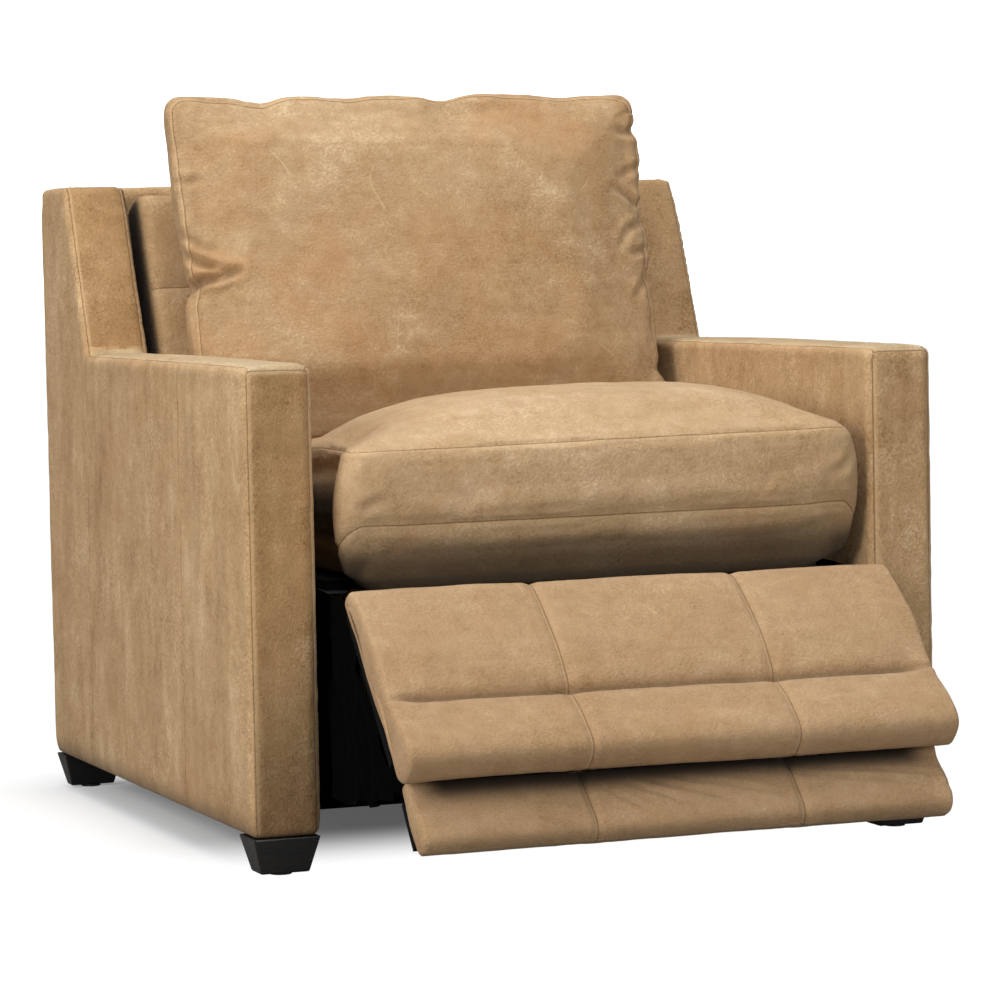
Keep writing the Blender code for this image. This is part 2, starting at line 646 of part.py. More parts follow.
def back_pillow():
    """Loose back pillow: boxed and crowned, its rear against the inner back, its sides drawn in."""
    section = [pillow_point(PILLOW_HEIGHT * up, PILLOW_FRONT * out + PILLOW_CROWN * crown)
               for up, out, crown in PILLOW_FRONT_SHARES]
    section += [back_point(BACK_FRAME_TOP * up, PILLOW_CLEARANCE) for up in PILLOW_REST_SHARES]
    middle = pillow_point(PILLOW_HEIGHT / 2, 0.0)
    upward = cmath.rect(1, math.pi / 2 + PILLOW_LEAN)
    rings = []
    for ring in pad_rings(PILLOW_HALF_WIDTH, section, PILLOW_END_SHARES):
        bent = []
        for x, at in ring:
            local = (at - middle) * upward.conjugate()
            waist = PILLOW_WAIST * max(0.0, 1 - (local.real / PILLOW_HEIGHT * 2) ** 2)
            rearward = PILLOW_REAR_DRAW * max(0.0, local.imag / PILLOW_FRONT)
            bent.append((x - math.copysign(waist + rearward, x) * (abs(x) / PILLOW_HALF_WIDTH) ** 2, at))
        rings.append(bent)
    thing = loft("back_cushion", rings, LEATHER)
    soften(thing, 1)
    return set_origin(thing, on_axis(BACK_HINGE))


def back_bracket(word, side):
    """Steel bracket between the carriage's hinge pin and the foot of the back frame."""
    ear = HINGE_EAR_RADIUS
    top = BACK_FRAME_FOOT - FIT_GAP
    thick = BACK_FRAME_THICKNESS
    outline = [back_point(top, -thick * share) for share in BRACKET_TOP_SHARES]
    start = cmath.rect(1, math.pi + BACK_LEAN)
    outline += [BACK_HINGE + ear * start * cmath.rect(1, math.pi * k / CURVE_STEPS) for k in range(CURVE_STEPS + 1)]
    thing = side_plate("back_bracket_" + word, outline, [(BACK_HINGE, RIVET_RADIUS + RIVET_CLEARANCE)],
                       FIXED_PLATE_OUTSIDE - PLATE_GAP, PLATE - PLATE_GAP, BLACK_STEEL, side)
    return set_origin(thing, on_axis(BACK_HINGE))


def panel_section(length, pad, channel_at, channel_deep, crown, point):
    """Side view of a padded board: crowned face, sewn channel, round nose at the lower edge."""
    outline = [point(0.0, -pad)]
    outline += [point(length * along + crown * up, pad * out) for along, up, out in PAD_TOP_SHARES]
    outline += [point(length * PAD_RISE_SHARE, 0.0)]
    if channel_deep:
        before, edge, after = PAD_CHANNEL_SHARES
        near_edge, far_edge = PAD_CHANNEL_EDGE_SHARES
        outline += [point(channel_at * before, 0.0), point(channel_at * edge, -channel_deep * near_edge),
                    point(channel_at, -channel_deep), point(channel_at + length * after, -channel_deep * far_edge)]
    else:
        outline += [point(length * along, pad * out) for along, out in PLAIN_PAD_SHARES]
    nose = PAD_NOSE_SHARES if channel_deep else PAD_NOSE_SHARES[1:]
    return outline + [point(length * along, pad * out) for along, out in nose]


def pads():
    """Footrest panel and flipper: leather pad in front, board behind."""
    pad = PANEL_PAD_THICKNESS
    section = panel_section(PANEL_LENGTH, pad, PANEL_CHANNEL_FROM_TOP, PANEL_CHANNEL_DEPTH, PANEL_CROWN,
                            panel_point)
    thing = loft("footrest_pad", pad_rings(PANEL_HALF_WIDTH, section, PAD_END_SHARES), LEATHER)
    soften(thing, 1)
    upper = panel_point(BRACKET_UPPER_PIVOT, -BRACKET_PIVOT_BEHIND)
    set_origin(thing, on_axis(upper))
    board("footrest_board", panel_point, PANEL_LENGTH - PANEL_BOARD_SHORT, pad, PANEL_BOARD_THICKNESS,
          PANEL_HALF_WIDTH, upper)

    pad = FLIPPER_PAD_THICKNESS
    section = panel_section(FLIPPER_LENGTH, pad, 0.0, 0.0, PANEL_CROWN, flipper_point)
    thing = loft("flipper_pad", pad_rings(FLIPPER_HALF_WIDTH, section, PAD_END_SHARES), LEATHER)
    soften(thing, 1)
    end = panel_point(ROCKER_END_ALONG, -ROCKER_END_BEHIND)
    set_origin(thing, on_axis(end))
    board("flipper_board", flipper_point, FLIPPER_LENGTH - FLIPPER_BOARD_SHORT, pad, FLIPPER_BOARD_THICKNESS,
          FLIPPER_HALF_WIDTH, end)


def board(name, point, end, pad, thickness, half_width, origin):
    """Plywood board behind a pad, a little smaller than the pad all round."""
    inset = thickness
    near = pad + FIT_GAP
    section = [point(inset, -near), point(end, -near), point(end, -near - thickness), point(inset, -near - thickness)]
    half = half_width - inset
    thing = loft(name, [flat_ring(-half, section), flat_ring(half, section)], PLYWOOD)
    return set_origin(thing, on_axis(origin))


def pivots():
    """Side-view places of the linkage's pivots at rest."""
    upper = panel_point(BRACKET_UPPER_PIVOT, -BRACKET_PIVOT_BEHIND)
    lower = panel_point(BRACKET_LOWER_PIVOT, -BRACKET_PIVOT_BEHIND)
    to_front = FRONT_PIVOT - SWING_CENTRE
    to_rear = REAR_PIVOT - SWING_CENTRE
    return {"front": FRONT_PIVOT, "rear": REAR_PIVOT, "upper": upper, "lower": lower,
            "cross": upper + to_front, "foot": lower + to_front, "tail": upper + to_rear}


def linkage(word, side):
    """One side's links: fixed plate, two swing arms, lift link, lower link and panel bracket."""
    at = pivots()
    hole = RIVET_RADIUS + RIVET_CLEARANCE
    fixed_plate(word, side, at)

    bar = round_bar([at["front"], at["cross"], at["foot"]], BAR_HALF_WIDTH)
    thing = side_plate("swing_arm_" + word, bar, [(at["front"], hole)], LAYER_ARMS, PLATE, BLACK_STEEL, side)
    for key in ("cross", "foot"):
        pin = rivet("swing_pin_%s_%s" % (key, word), at[key], LAYER_HEADS - RIVET_HEAD,
                    LAYER_ARMS - PLATE / 2, side)
        join_shapes(thing, pin, "UNION")
    set_origin(thing, on_axis(at["front"]))

    bar = round_bar([at["rear"], at["tail"]], BAR_HALF_WIDTH)
    thing = side_plate("rear_arm_" + word, bar, [(at["rear"], hole)], LAYER_ARMS, PLATE, BLACK_STEEL, side)
    join_shapes(thing, rivet("rear_pin_" + word, at["tail"], LAYER_HEADS - RIVET_HEAD,
                             LAYER_ARMS - PLATE / 2, side), "UNION")
    tube_at = at["rear"] + (at["tail"] - at["rear"]) * TUBE_SHARE
    plug = turned("tube_plug_" + word, TUBE_RADIUS - TUBE_WALL - FIT_GAP,
                  (side * (LAYER_ARMS - PLATE / 2), -tube_at.real, tube_at.imag),
                  (side * (LAYER_ARMS - PLATE - TUBE_RADIUS), -tube_at.real, tube_at.imag),
                  BLACK_STEEL, CUTTERS, HOLE_SIDES)
    join_shapes(thing, as_cutter(plug), "UNION")
    set_origin(thing, on_axis(at["rear"]))

    bar = round_bar([at["tail"], at["cross"], at["upper"]], BAR_HALF_WIDTH)
    thing = side_plate("lift_link_" + word, bar, [(at["tail"], hole), (at["cross"], hole), (at["upper"], hole)],
                       LAYER_LINKS, PLATE, BLACK_STEEL, side)
    set_origin(thing, on_axis(at["cross"]))

    bar = round_bar([at["foot"], at["lower"]], BAR_HALF_WIDTH)
    thing = side_plate("lower_link_" + word, bar, [(at["foot"], hole), (at["lower"], hole)],
                       LAYER_LINKS, PLATE, BLACK_STEEL, side)
    set_origin(thing, on_axis(at["foot"]))
    panel_bracket(word, side, at)


def fixed_plate(word, side, at):
    """Angle plate on the carriage: the web holds the two fixed pivots, the flange carries the deck."""
    low = at["front"].imag - FIXED_PLATE_DROP
    web = box("fixed_plate_" + word, *across(side, FIXED_PLATE_OUTSIDE - PLATE, FIXED_PLATE_OUTSIDE,
                                             FIXED_PLATE_FRONT, FIXED_PLATE_REAR, low, FIXED_PLATE_TOP + PLATE),
              BLACK_STEEL)
    flange = as_cutter(box("flange_" + word,
                           *across(side, FIXED_PLATE_OUTSIDE - FLANGE_WIDTH, FIXED_PLATE_OUTSIDE - PLATE / 2,
                                   FIXED_PLATE_FRONT, FIXED_PLATE_REAR, FIXED_PLATE_TOP, FIXED_PLATE_TOP + PLATE),
                           BLACK_STEEL, CUTTERS))
    join_shapes(web, flange, "UNION")
    for key in ("front", "rear"):
        pin = rivet("fixed_pin_%s_%s" % (key, word), at[key], LAYER_LINKS - RIVET_HEAD,
                    LAYER_FIXED - PLATE / 2, side)
        join_shapes(web, pin, "UNION")
    return web


def panel_bracket(word, side, at):
    """Bracket on the back of the footrest board, with the pins of its two pivots."""
    behind = PANEL_PAD_THICKNESS + PANEL_BOARD_THICKNESS + 2 * FIT_GAP
    start = BRACKET_UPPER_PIVOT - BAR_HALF_WIDTH
    end = BRACKET_LOWER_PIVOT + BAR_HALF_WIDTH
    back = BRACKET_PIVOT_BEHIND + BAR_HALF_WIDTH
    outline = [panel_point(start, -behind), panel_point(start, -back), panel_point(end, -back),
               panel_point(end + BAR_HALF_WIDTH, -behind - PLATE), panel_point(end + BAR_HALF_WIDTH, -behind)]
    thing = side_plate("footrest_bracket_" + word, outline, [], LAYER_ARMS, PLATE, BLACK_STEEL, side)
    section = [panel_point(start, -behind), panel_point(start, -behind - PLATE),
               panel_point(end + BAR_HALF_WIDTH, -behind - PLATE), panel_point(end + BAR_HALF_WIDTH, -behind)]
    edges = sorted((side * (LAYER_ARMS - PLATE / 2), side * (LAYER_ARMS + BRACKET_FLANGE)))
    foot_plate = as_cutter(loft("bracket_foot_" + word, [flat_ring(edge, section) for edge in edges],
                                BLACK_STEEL, CUTTERS))
    join_shapes(thing, foot_plate, "UNION")
    for key in ("upper", "lower"):
        pin = rivet("bracket_pin_%s_%s" % (key, word), at[key], LAYER_HEADS - RIVET_HEAD,
                    LAYER_ARMS - PLATE / 2, side)
        join_shapes(thing, pin, "UNION")
    return set_origin(thing, on_axis(at["upper"]))


def flipper_gear(word, side):
    """Flipper hinge: ear on the footrest board, rocker, and ear on the flipper board."""
    pivot = panel_point(ROCKER_PIVOT_ALONG, -ROCKER_PIVOT_BEHIND)
    end = panel_point(ROCKER_END_ALONG, -ROCKER_END_BEHIND)
    hole = RIVET_RADIUS + RIVET_CLEARANCE
    layer_ears = FLIPPER_GEAR_X
    layer_rocker = layer_ears - PLATE - PLATE_GAP
    head = layer_rocker - PLATE - PLATE_GAP - RIVET_HEAD
    width = BAR_HALF_WIDTH
    behind = PANEL_PAD_THICKNESS + PANEL_BOARD_THICKNESS + 2 * FIT_GAP
    root = panel_point(EAR_ROOT_ALONG, -behind - width)
    bar = round_bar([root, panel_point(EAR_BEND_ALONG, -EAR_BEND_BEHIND), pivot], width)
    count = CURVE_STEPS + 1
    square = [panel_point(EAR_ROOT_ALONG + width, -behind), panel_point(EAR_ROOT_ALONG - width, -behind)]
    ear = side_plate("footrest_ear_" + word, bar[:-count] + square, [], layer_ears, PLATE, BLACK_STEEL, side)
    join_shapes(ear, rivet("ear_pin_" + word, pivot, head, layer_ears - PLATE / 2, side), "UNION")
    set_origin(ear, on_axis(panel_point(BRACKET_UPPER_PIVOT, -BRACKET_PIVOT_BEHIND)))

    rocker = side_plate("flipper_rocker_" + word, round_bar([pivot, end], width), [(pivot, hole), (end, hole)],
                        layer_rocker, PLATE, BLACK_STEEL, side)
    set_origin(rocker, on_axis(pivot))

    behind = FLIPPER_PAD_THICKNESS + FLIPPER_BOARD_THICKNESS + 2 * FIT_GAP
    low = [flipper_point(FLIPPER_LENGTH * share, -behind) for share in FLIPPER_EAR_SHARES]
    toward = end - (low[0] + low[1]) / 2
    toward /= abs(toward)
    tip = [end + toward * width * cmath.rect(1, math.pi * (0.5 - k / CURVE_STEPS)) for k in range(CURVE_STEPS + 1)]
    layer_flipper = layer_rocker - PLATE - PLATE_GAP
    ear = side_plate("flipper_ear_" + word, low + tip, [], layer_flipper, PLATE, BLACK_STEEL, side)
    pin = turned("flipper_pin_" + word, RIVET_RADIUS, (side * (layer_flipper - PLATE / 2), -end.real, end.imag),
                 (side * layer_rocker, -end.real, end.imag), BRIGHT_STEEL, CUTTERS, HOLE_SIDES)
    join_shapes(ear, as_cutter(pin), "UNION")
    set_origin(ear, on_axis(end))


def lug_point(turn):
    """Centre of the drive lug's pin when the arms have turned this far from closed."""
    return REAR_PIVOT + cmath.rect(LUG_RADIUS, turn - LUG_HALF_SWING - math.pi / 2)


def slot_point():
    """Centre of the yoke's slot at rest, where the block's even travel puts it."""
    even = LUG_RADIUS * DRIVE_RATE_SHARE * (REST_OPENING - LUG_HALF_SWING)
    depth = LUG_RADIUS * (1 + math.cos(LUG_HALF_SWING)) / 2
    return REAR_PIVOT + complex(even, -depth)


def slot_half_height():
    """Half the slot's height: the pin's rise and fall, and room for the pin."""
    return LUG_RADIUS * (1 - math.cos(LUG_HALF_SWING)) / 2 + LUG_PIN_RADIUS + SLOT_CLEARANCE


def screw_height():
    """Height of the screw, below the slot."""
    return slot_point().imag - slot_half_height() - YOKE_WALL - NUT_HALF


def drive():
    """Screw drive: cross tube between the rear arms with its lug, yoke block, screw, gearbox, motor."""
    at = pivots()
    tube_at = at["rear"] + (at["tail"] - at["rear"]) * TUBE_SHARE
    lug_at = lug_point(REST_OPENING)
    half = LAYER_ARMS - PLATE - FIT_GAP
    tube = turned("drive_tube", TUBE_RADIUS, (-half, -tube_at.real, tube_at.imag),
                  (half, -tube_at.real, tube_at.imag), BLACK_STEEL)
    bore = as_cutter(turned("tube_bore", TUBE_RADIUS - TUBE_WALL,
                            (-half - CUTTER_OVERRUN, -tube_at.real, tube_at.imag),
                            (half + CUTTER_OVERRUN, -tube_at.real, tube_at.imag),
                            BLACK_STEEL, CUTTERS, HOLE_SIDES))
    lug_x = YOKE_HALF_THICKNESS + PLATE_GAP + PLATE
    for side in (-1, 1):
        ear = as_cutter(side_plate("drive_lug_%d" % side, round_bar([tube_at, lug_at], BAR_HALF_WIDTH), [],
                                   lug_x, PLATE, BLACK_STEEL, side, CUTTERS))
        join_shapes(tube, ear, "UNION")
    pin = as_cutter(turned("lug_pin", LUG_PIN_RADIUS, (-lug_x + PLATE / 2, -lug_at.real, lug_at.imag),
                           (lug_x - PLATE / 2, -lug_at.real, lug_at.imag), BLACK_STEEL, CUTTERS, HOLE_SIDES))
    join_shapes(tube, pin, "UNION")
    join_shapes(tube, bore, "DIFFERENCE")
    set_origin(tube, on_axis(at["rear"]))
    yoke()
    motor()


def yoke():
    """Block on the screw, with an upright slot that the lug pin works in."""
    slot_at = slot_point()
    setback = -slot_at.real
    half_slot = slot_half_height()
    screw_z = screw_height()
    low = screw_z - NUT_HALF
    thing = box("drive_block", (-YOKE_HALF_THICKNESS, setback - YOKE_HALF_WIDTH, low),
                (YOKE_HALF_THICKNESS, setback + YOKE_HALF_WIDTH, slot_at.imag + half_slot + YOKE_WALL),
                BLACK_PLASTIC)
    nut = box("nut_body", (-NUT_HALF, setback - YOKE_HALF_WIDTH - YOKE_WALL, low - YOKE_WALL / 2),
              (NUT_HALF, setback + YOKE_HALF_WIDTH + YOKE_WALL, screw_z + NUT_HALF), BLACK_PLASTIC, CUTTERS)
    join_shapes(thing, as_cutter(nut), "UNION")
    slot = box("yoke_slot", (-YOKE_HALF_THICKNESS - CUTTER_OVERRUN, setback - YOKE_SLOT_HALF_WIDTH,
                             slot_at.imag - half_slot),
               (YOKE_HALF_THICKNESS + CUTTER_OVERRUN, setback + YOKE_SLOT_HALF_WIDTH, slot_at.imag + half_slot),
               BLACK_PLASTIC, CUTTERS)
    join_shapes(thing, as_cutter(slot), "DIFFERENCE")
    overrun = YOKE_HALF_WIDTH + YOKE_WALL + CUTTER_OVERRUN
    thread = turned("nut_bore", SCREW_RADIUS + FIT_GAP, (0.0, setback - overrun, screw_z),
                    (0.0, setback + overrun, screw_z), BLACK_PLASTIC, CUTTERS, HOLE_SIDES)
    return join_shapes(thing, as_cutter(thread), "DIFFERENCE")


def motor():
    """Screw, gearbox and motor, hung from the seat deck by a strap."""
    screw_z = screw_height()
    near = SCREW_FRONT
    far = near + SCREW_LENGTH
    turned("drive_screw", SCREW_RADIUS, (0.0, near, screw_z), (0.0, far, screw_z), BRIGHT_STEEL, None, HOLE_SIDES)
    half = GEARBOX_SIZE / 2
    start = far + FIT_GAP
    gearbox = box("drive_gearbox", (-half, start, screw_z - half), (half, start + GEARBOX_LENGTH, screw_z + half),
                  BLACK_PLASTIC)
    bevel(gearbox, GEARBOX_ROUND, 2)
    back = start + GEARBOX_LENGTH + FIT_GAP
    case = turned("drive_motor", MOTOR_RADIUS, (0.0, back, screw_z), (0.0, back + MOTOR_LENGTH, screw_z),
                  BLACK_STEEL)
    bevel(case, FOOT_ROUND, 2)
    deck_low = FIXED_PLATE_TOP + PLATE
    middle = start + GEARBOX_LENGTH / 2
    hanger("gearbox_hanger", middle, screw_z + half + FIT_GAP, deck_low, half - GEARBOX_ROUND)


def hanger(name, setback, low, high, half_width):
    """Upright steel strap under the deck, with a foot that is screwed to the deck."""
    strap = box(name, (-half_width, setback - HANGER_THICKNESS / 2, low),
                (half_width, setback + HANGER_THICKNESS / 2, high), BLACK_STEEL)
    foot_plate = box(name + "_foot", (-half_width, setback - HANGER_THICKNESS / 4, high - PLATE),
                     (half_width, setback + HANGER_FOOT, high), BLACK_STEEL, CUTTERS)
    return join_shapes(strap, as_cutter(foot_plate), "UNION")


def hand_switch():
    """Two-button switch on the inner face of the sitter's right arm."""
    face = -INNER_HALF_WIDTH + FIT_GAP
    half = SWITCH_LENGTH / 2
    plate = box("switch_plate", (face, SWITCH_SETBACK - half, SWITCH_CENTRE_HEIGHT - SWITCH_HEIGHT / 2),
                (face + SWITCH_THICKNESS, SWITCH_SETBACK + half, SWITCH_CENTRE_HEIGHT + SWITCH_HEIGHT / 2),
                BLACK_PLASTIC)
    for word, along in (("open", -1), ("close", 1)):
        centre = SWITCH_SETBACK + along * BUTTON_SPACING / 2
        floor = face + SWITCH_FLOOR
        clear = BUTTON_CLEARANCE
        pocket = as_cutter(box("pocket_" + word, (floor, centre - BUTTON_LENGTH / 2 - clear,
                                                  SWITCH_CENTRE_HEIGHT - BUTTON_HEIGHT / 2 - clear),
                               (face + SWITCH_THICKNESS + CUTTER_OVERRUN, centre + BUTTON_LENGTH / 2 + clear,
                                SWITCH_CENTRE_HEIGHT + BUTTON_HEIGHT / 2 + clear), BLACK_PLASTIC, CUTTERS))
        join_shapes(plate, pocket, "DIFFERENCE")
        button = box("button_" + word, (floor + BUTTON_TRAVEL + clear, centre - BUTTON_LENGTH / 2,
                                        SWITCH_CENTRE_HEIGHT - BUTTON_HEIGHT / 2),
                     (face + SWITCH_THICKNESS + BUTTON_PROUD, centre + BUTTON_LENGTH / 2,
                      SWITCH_CENTRE_HEIGHT + BUTTON_HEIGHT / 2), BRIGHT_STEEL)
        bevel(button, BUTTON_CLEARANCE, 2)


def centre_footprint():
    """Moves the whole chair so that the origin is at the middle of its footprint, on the floor."""
    bpy.context.view_layer.update()
    graph = bpy.context.evaluated_depsgraph_get()
    corners = []
    for thing in CHAIR.objects:
        shape = thing.evaluated_get(graph)
        corners += [shape.matrix_world @ vertex.co for vertex in shape.data.vertices]
    middle = [(min(c[k] for c in corners) + max(c[k] for c in corners)) / 2 for k in (0, 1)]
    for thing in list(CHAIR.objects) + list(CUTTERS.objects):
        thing.location.x -= middle[0]
        thing.location.y -= middle[1]
    print("Moved by", [round(-value, 5) for value in middle])


def report_pivots():
    """Prints the joint axes in the part's own frame."""
    shift = CHAIR.objects["arm_left"].location.y
    for key, at in pivots().items():
        print("pivot", key, round(-at.real + shift, 6), round(at.imag, 6))


shell()
seat()
back_frame()
back_pillow()
pads()
for side_word, side_sign in (("left", -1), ("right", 1)):
    linkage(side_word, side_sign)
    flipper_gear(side_word, side_sign)
    back_bracket(side_word, side_sign)
    runner(side_word, side_sign)
drive()
hand_switch()
centre_footprint()
report_pivots()
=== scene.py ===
# %% [markdown]
# A leather recliner chair with its footrest partly open.
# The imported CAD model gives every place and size. This script adds the upholstery's soft forms,
# the seams, the leather and the other materials, then the floor, the light and the camera.

# %% Load the frame
import json
import math

import bpy
import numpy as np
from mathutils import Matrix, Vector


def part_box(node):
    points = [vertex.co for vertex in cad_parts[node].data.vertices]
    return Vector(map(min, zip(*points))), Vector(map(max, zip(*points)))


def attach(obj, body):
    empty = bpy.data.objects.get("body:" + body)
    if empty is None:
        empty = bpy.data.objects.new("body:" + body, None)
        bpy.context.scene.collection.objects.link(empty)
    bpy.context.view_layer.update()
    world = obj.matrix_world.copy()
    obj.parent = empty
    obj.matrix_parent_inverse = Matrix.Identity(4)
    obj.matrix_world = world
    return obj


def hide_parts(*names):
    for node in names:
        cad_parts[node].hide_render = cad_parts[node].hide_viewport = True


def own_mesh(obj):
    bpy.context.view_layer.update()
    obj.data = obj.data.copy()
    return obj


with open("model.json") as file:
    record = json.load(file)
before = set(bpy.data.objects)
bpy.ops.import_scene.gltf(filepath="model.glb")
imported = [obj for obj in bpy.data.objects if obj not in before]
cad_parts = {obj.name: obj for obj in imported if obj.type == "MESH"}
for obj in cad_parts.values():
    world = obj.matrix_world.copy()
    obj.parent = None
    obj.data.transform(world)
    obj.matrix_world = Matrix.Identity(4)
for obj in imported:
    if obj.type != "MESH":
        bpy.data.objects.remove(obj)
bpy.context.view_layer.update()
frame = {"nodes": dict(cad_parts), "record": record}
nodes = frame["nodes"]
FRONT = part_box("arm_left")[0].y
HALF_INSIDE = -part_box("arm_left")[1].x
HALF_CHAIR = -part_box("arm_left")[0].x
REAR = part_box("arm_left")[1].y
print("frame", len(nodes), "nodes, arms' front at", round(FRONT, 5))

# %% [markdown]
# Arrays of points are (n, 3), in metres, in the CAD frame. Depths are measured backwards from the
# arms' front. Only the tables of folds, dents and sections are in millimetres.

# %% Number tools


def smooth(low, high, value):
    """The step 3t^2 - 2t^3 with t = (value - low) / (high - low), held to 0..1."""
    t = np.clip((np.asarray(value) - low) / (high - low), 0, 1)
    return t * t * (3 - 2 * t)


def bell(distance, width):
    """The bump exp(-(distance / width)^2)."""
    return np.exp(-(distance / width) ** 2)


def noise(points, size, seed=0.0):
    """Value noise in -1..1 on a lattice of the given size.

    Lattice values are frac(43758 sin(k.a + seed)), blended with 3t^2 - 2t^3.
    """
    p = np.asarray(points, float) / size
    cell = np.floor(p)
    t = p - cell
    t = t * t * (3 - 2 * t)
    total = np.zeros(len(p))
    for corner in np.ndindex(2, 2, 2):
        step = np.array(corner)
        value = np.modf(np.sin((cell + step) @ (12.9898, 78.233, 37.719) + seed) * 43758.5453)[0]
        total += value * np.prod(np.where(step == 1, t, 1 - t), axis=1)
    return total


def resample(line, count, closed):
    """A line cut into equal lengths. A closed one ends on its first point, which isn't repeated."""
    steps = np.linalg.norm(np.diff(line, axis=0), axis=1)
    run = np.concatenate([[0], np.cumsum(steps)])
    at = np.linspace(0, run[-1], count + closed)[:count]
    return np.stack([np.interp(at, run, column) for column in line.T], axis=1)


def curve_through(points, count, closed=False):
    """Catmull-Rom curve through points: q = sum of cubic weights of 4 points."""
    p = np.array(points, float)
    if closed:
        p = np.vstack([p[-1], p, p[0], p[1]])
    else:
        p = np.vstack([2 * p[0] - p[1], p, 2 * p[-1] - p[-2]])
    t = np.linspace(0, 1, 12, endpoint=False)[:, None]
    parts = []
    for a, b, c, d in zip(p, p[1:], p[2:], p[3:]):
        parts.append(0.5 * (2 * b + (c - a) * t + (2 * a - 5 * b + 4 * c - d) * t ** 2
                            + (3 * b - a - 3 * c + d) * t ** 3))
    return resample(np.vstack(parts + [p[-2][None]]), count, closed)


def closed_up(ring):
    """A ring with its first point repeated at its end."""
    return np.vstack([ring, ring[:1]])


def rounded_plan(half, front, rear, radius, count=240):
    """Rounded rectangle in plan: corners are quarter circles of the given radius."""
    turn = np.linspace(0, math.pi / 2, 13)
    corners = ((half - radius, rear - radius), (-half + radius, rear - radius),
               (-half + radius, front + radius), (half - radius, front + radius))
    parts = []
    for quarter, (x, y) in enumerate(corners):
        angle = turn + quarter * math.pi / 2
        parts.append(np.stack([x + radius * np.cos(angle), y + radius * np.sin(angle)], 1))
    return resample(closed_up(np.vstack(parts)), count, True)


def metres(values):
    """Millimetres as metres."""
    return np.array(values, float) / 1000


def place_at(across, depth, height):
    """Points of the CAD frame from distances: across, behind the front, above the floor."""
    across, depth, height = np.broadcast_arrays(across, depth, height)
    return np.stack([across, depth + FRONT, height], axis=-1).astype(float)


def depth_of(points):
    """How far points are behind the arms' front."""
    return points[:, 1] - FRONT


# %% [markdown]
# A soft piece is a mesh built from rings, or a CAD node's own mesh cut into even quads.

# %% Mesh tools


def add_object(name, data):
    """A new object in the scene."""
    made = bpy.data.objects.new(name, data)
    bpy.context.scene.collection.objects.link(made)
    return made


def mesh_object(name, points, faces):
    """A smooth-shaded object from points and faces."""
    mesh = bpy.data.meshes.new(name)
    mesh.from_pydata(np.asarray(points).tolist(), [], faces)
    mesh.validate()
    mesh.shade_smooth()
    return add_object(name, mesh)


def rings_object(name, rings):
    """A closed form through rings, an array (rings, points, 3), with a cap at each end."""
    rings = np.asarray(rings, float)
    index = np.arange(rings[..., 0].size).reshape(rings.shape[:2])
    after = np.roll(index, -1, axis=1)
    quads = np.stack([index[:-1], after[:-1], after[1:], index[1:]], -1).reshape(-1, 4)
    caps = [index[0, ::-1].tolist(), index[-1].tolist()]
    return mesh_object(name, rings.reshape(-1, 3), quads.tolist() + caps)


def read(items, name, width=3):
    """One property of many items, as an array with a row for each."""
    out = np.empty(len(items) * width)
    items.foreach_get(name, out)
    return out.reshape(-1, width)


def points_of(thing):
    """The object's vertices as an array."""
    return read(thing.data.vertices, "co")


def set_points(thing, points):
    """Writes the vertices back."""
    thing.data.vertices.foreach_set("co", np.asarray(points, np.float32).ravel())
    thing.data.update()


def normals_of(thing):
    """The vertex normals as an array."""
    return read(thing.data.vertex_normals, "vector")


def store(thing, name, values):
    """Keeps one number per vertex as an attribute, which materials can read."""
    kept = thing.data.attributes.get(name)
    if kept is None:
        kept = thing.data.attributes.new(name, "FLOAT", "POINT")
    kept.data.foreach_set("value", np.asarray(values, np.float32))


def stored(thing, name):
    """Reads such an attribute."""
    return read(thing.data.attributes[name].data, "value", 1)[:, 0]


# %% [markdown]
# Modifiers cut a mesh into even quads, make it finer and let it swell as cloth.

# %% Modifier tools


def bake(thing):
    """Applies the object's modifiers."""
    graph = bpy.context.evaluated_depsgraph_get()
    done = bpy.data.meshes.new_from_object(thing.evaluated_get(graph))
    thing.modifiers.clear()
    old = thing.data
    thing.data = done
    bpy.data.meshes.remove(old)
    done.shade_smooth()
    return thing


def remesh(thing, voxel, rounds):
    """Even quads of one size, whose edges a few rounds of smoothing ease."""
    step = thing.modifiers.new("Even", "REMESH")
    step.mode = "VOXEL"
    step.voxel_size = voxel
    ease = thing.modifiers.new("Ease", "SMOOTH")
    ease.factor = 0.5
    ease.iterations = rounds
    return bake(thing)


def subdivide(thing):
    """One subdivision, applied."""
    step = thing.modifiers.new("Finer", "SUBSURF")
    step.levels = 1
    step.render_levels = 1
    bake(thing)


def inflate(thing, cap, pressure=4.0, frames=20):
    """Lets cloth swell under pressure, then holds each point to cap metres from its start."""
    start = points_of(thing)
    cloth = thing.modifiers.new("Swell", "CLOTH")
    cloth.settings.quality = 5
    cloth.settings.use_pressure = True
    cloth.settings.uniform_pressure_force = pressure
    cloth.settings.effector_weights.gravity = 0
    cloth.point_cache.frame_start = 1
    cloth.point_cache.frame_end = frames
    for number in range(1, frames + 1):
        bpy.context.scene.frame_set(number)
    bake(thing)
    bpy.context.scene.frame_set(1)
    moved = points_of(thing) - start
    length = np.linalg.norm(moved, axis=1)
    share = np.minimum(1, cap / np.maximum(length, 1e-9))
    set_points(thing, start + moved * share[:, None])
    print(thing.name, "swelled by up to", round(float((length * share).max()), 4))


# %% [markdown]
# A seam is a line of points on a piece. Each vertex keeps its distance to the nearest seam, which
# the shape is pulled in by and the material draws the stitching with.

# %% Seam and fold tools
FAR_AWAY = 9.0


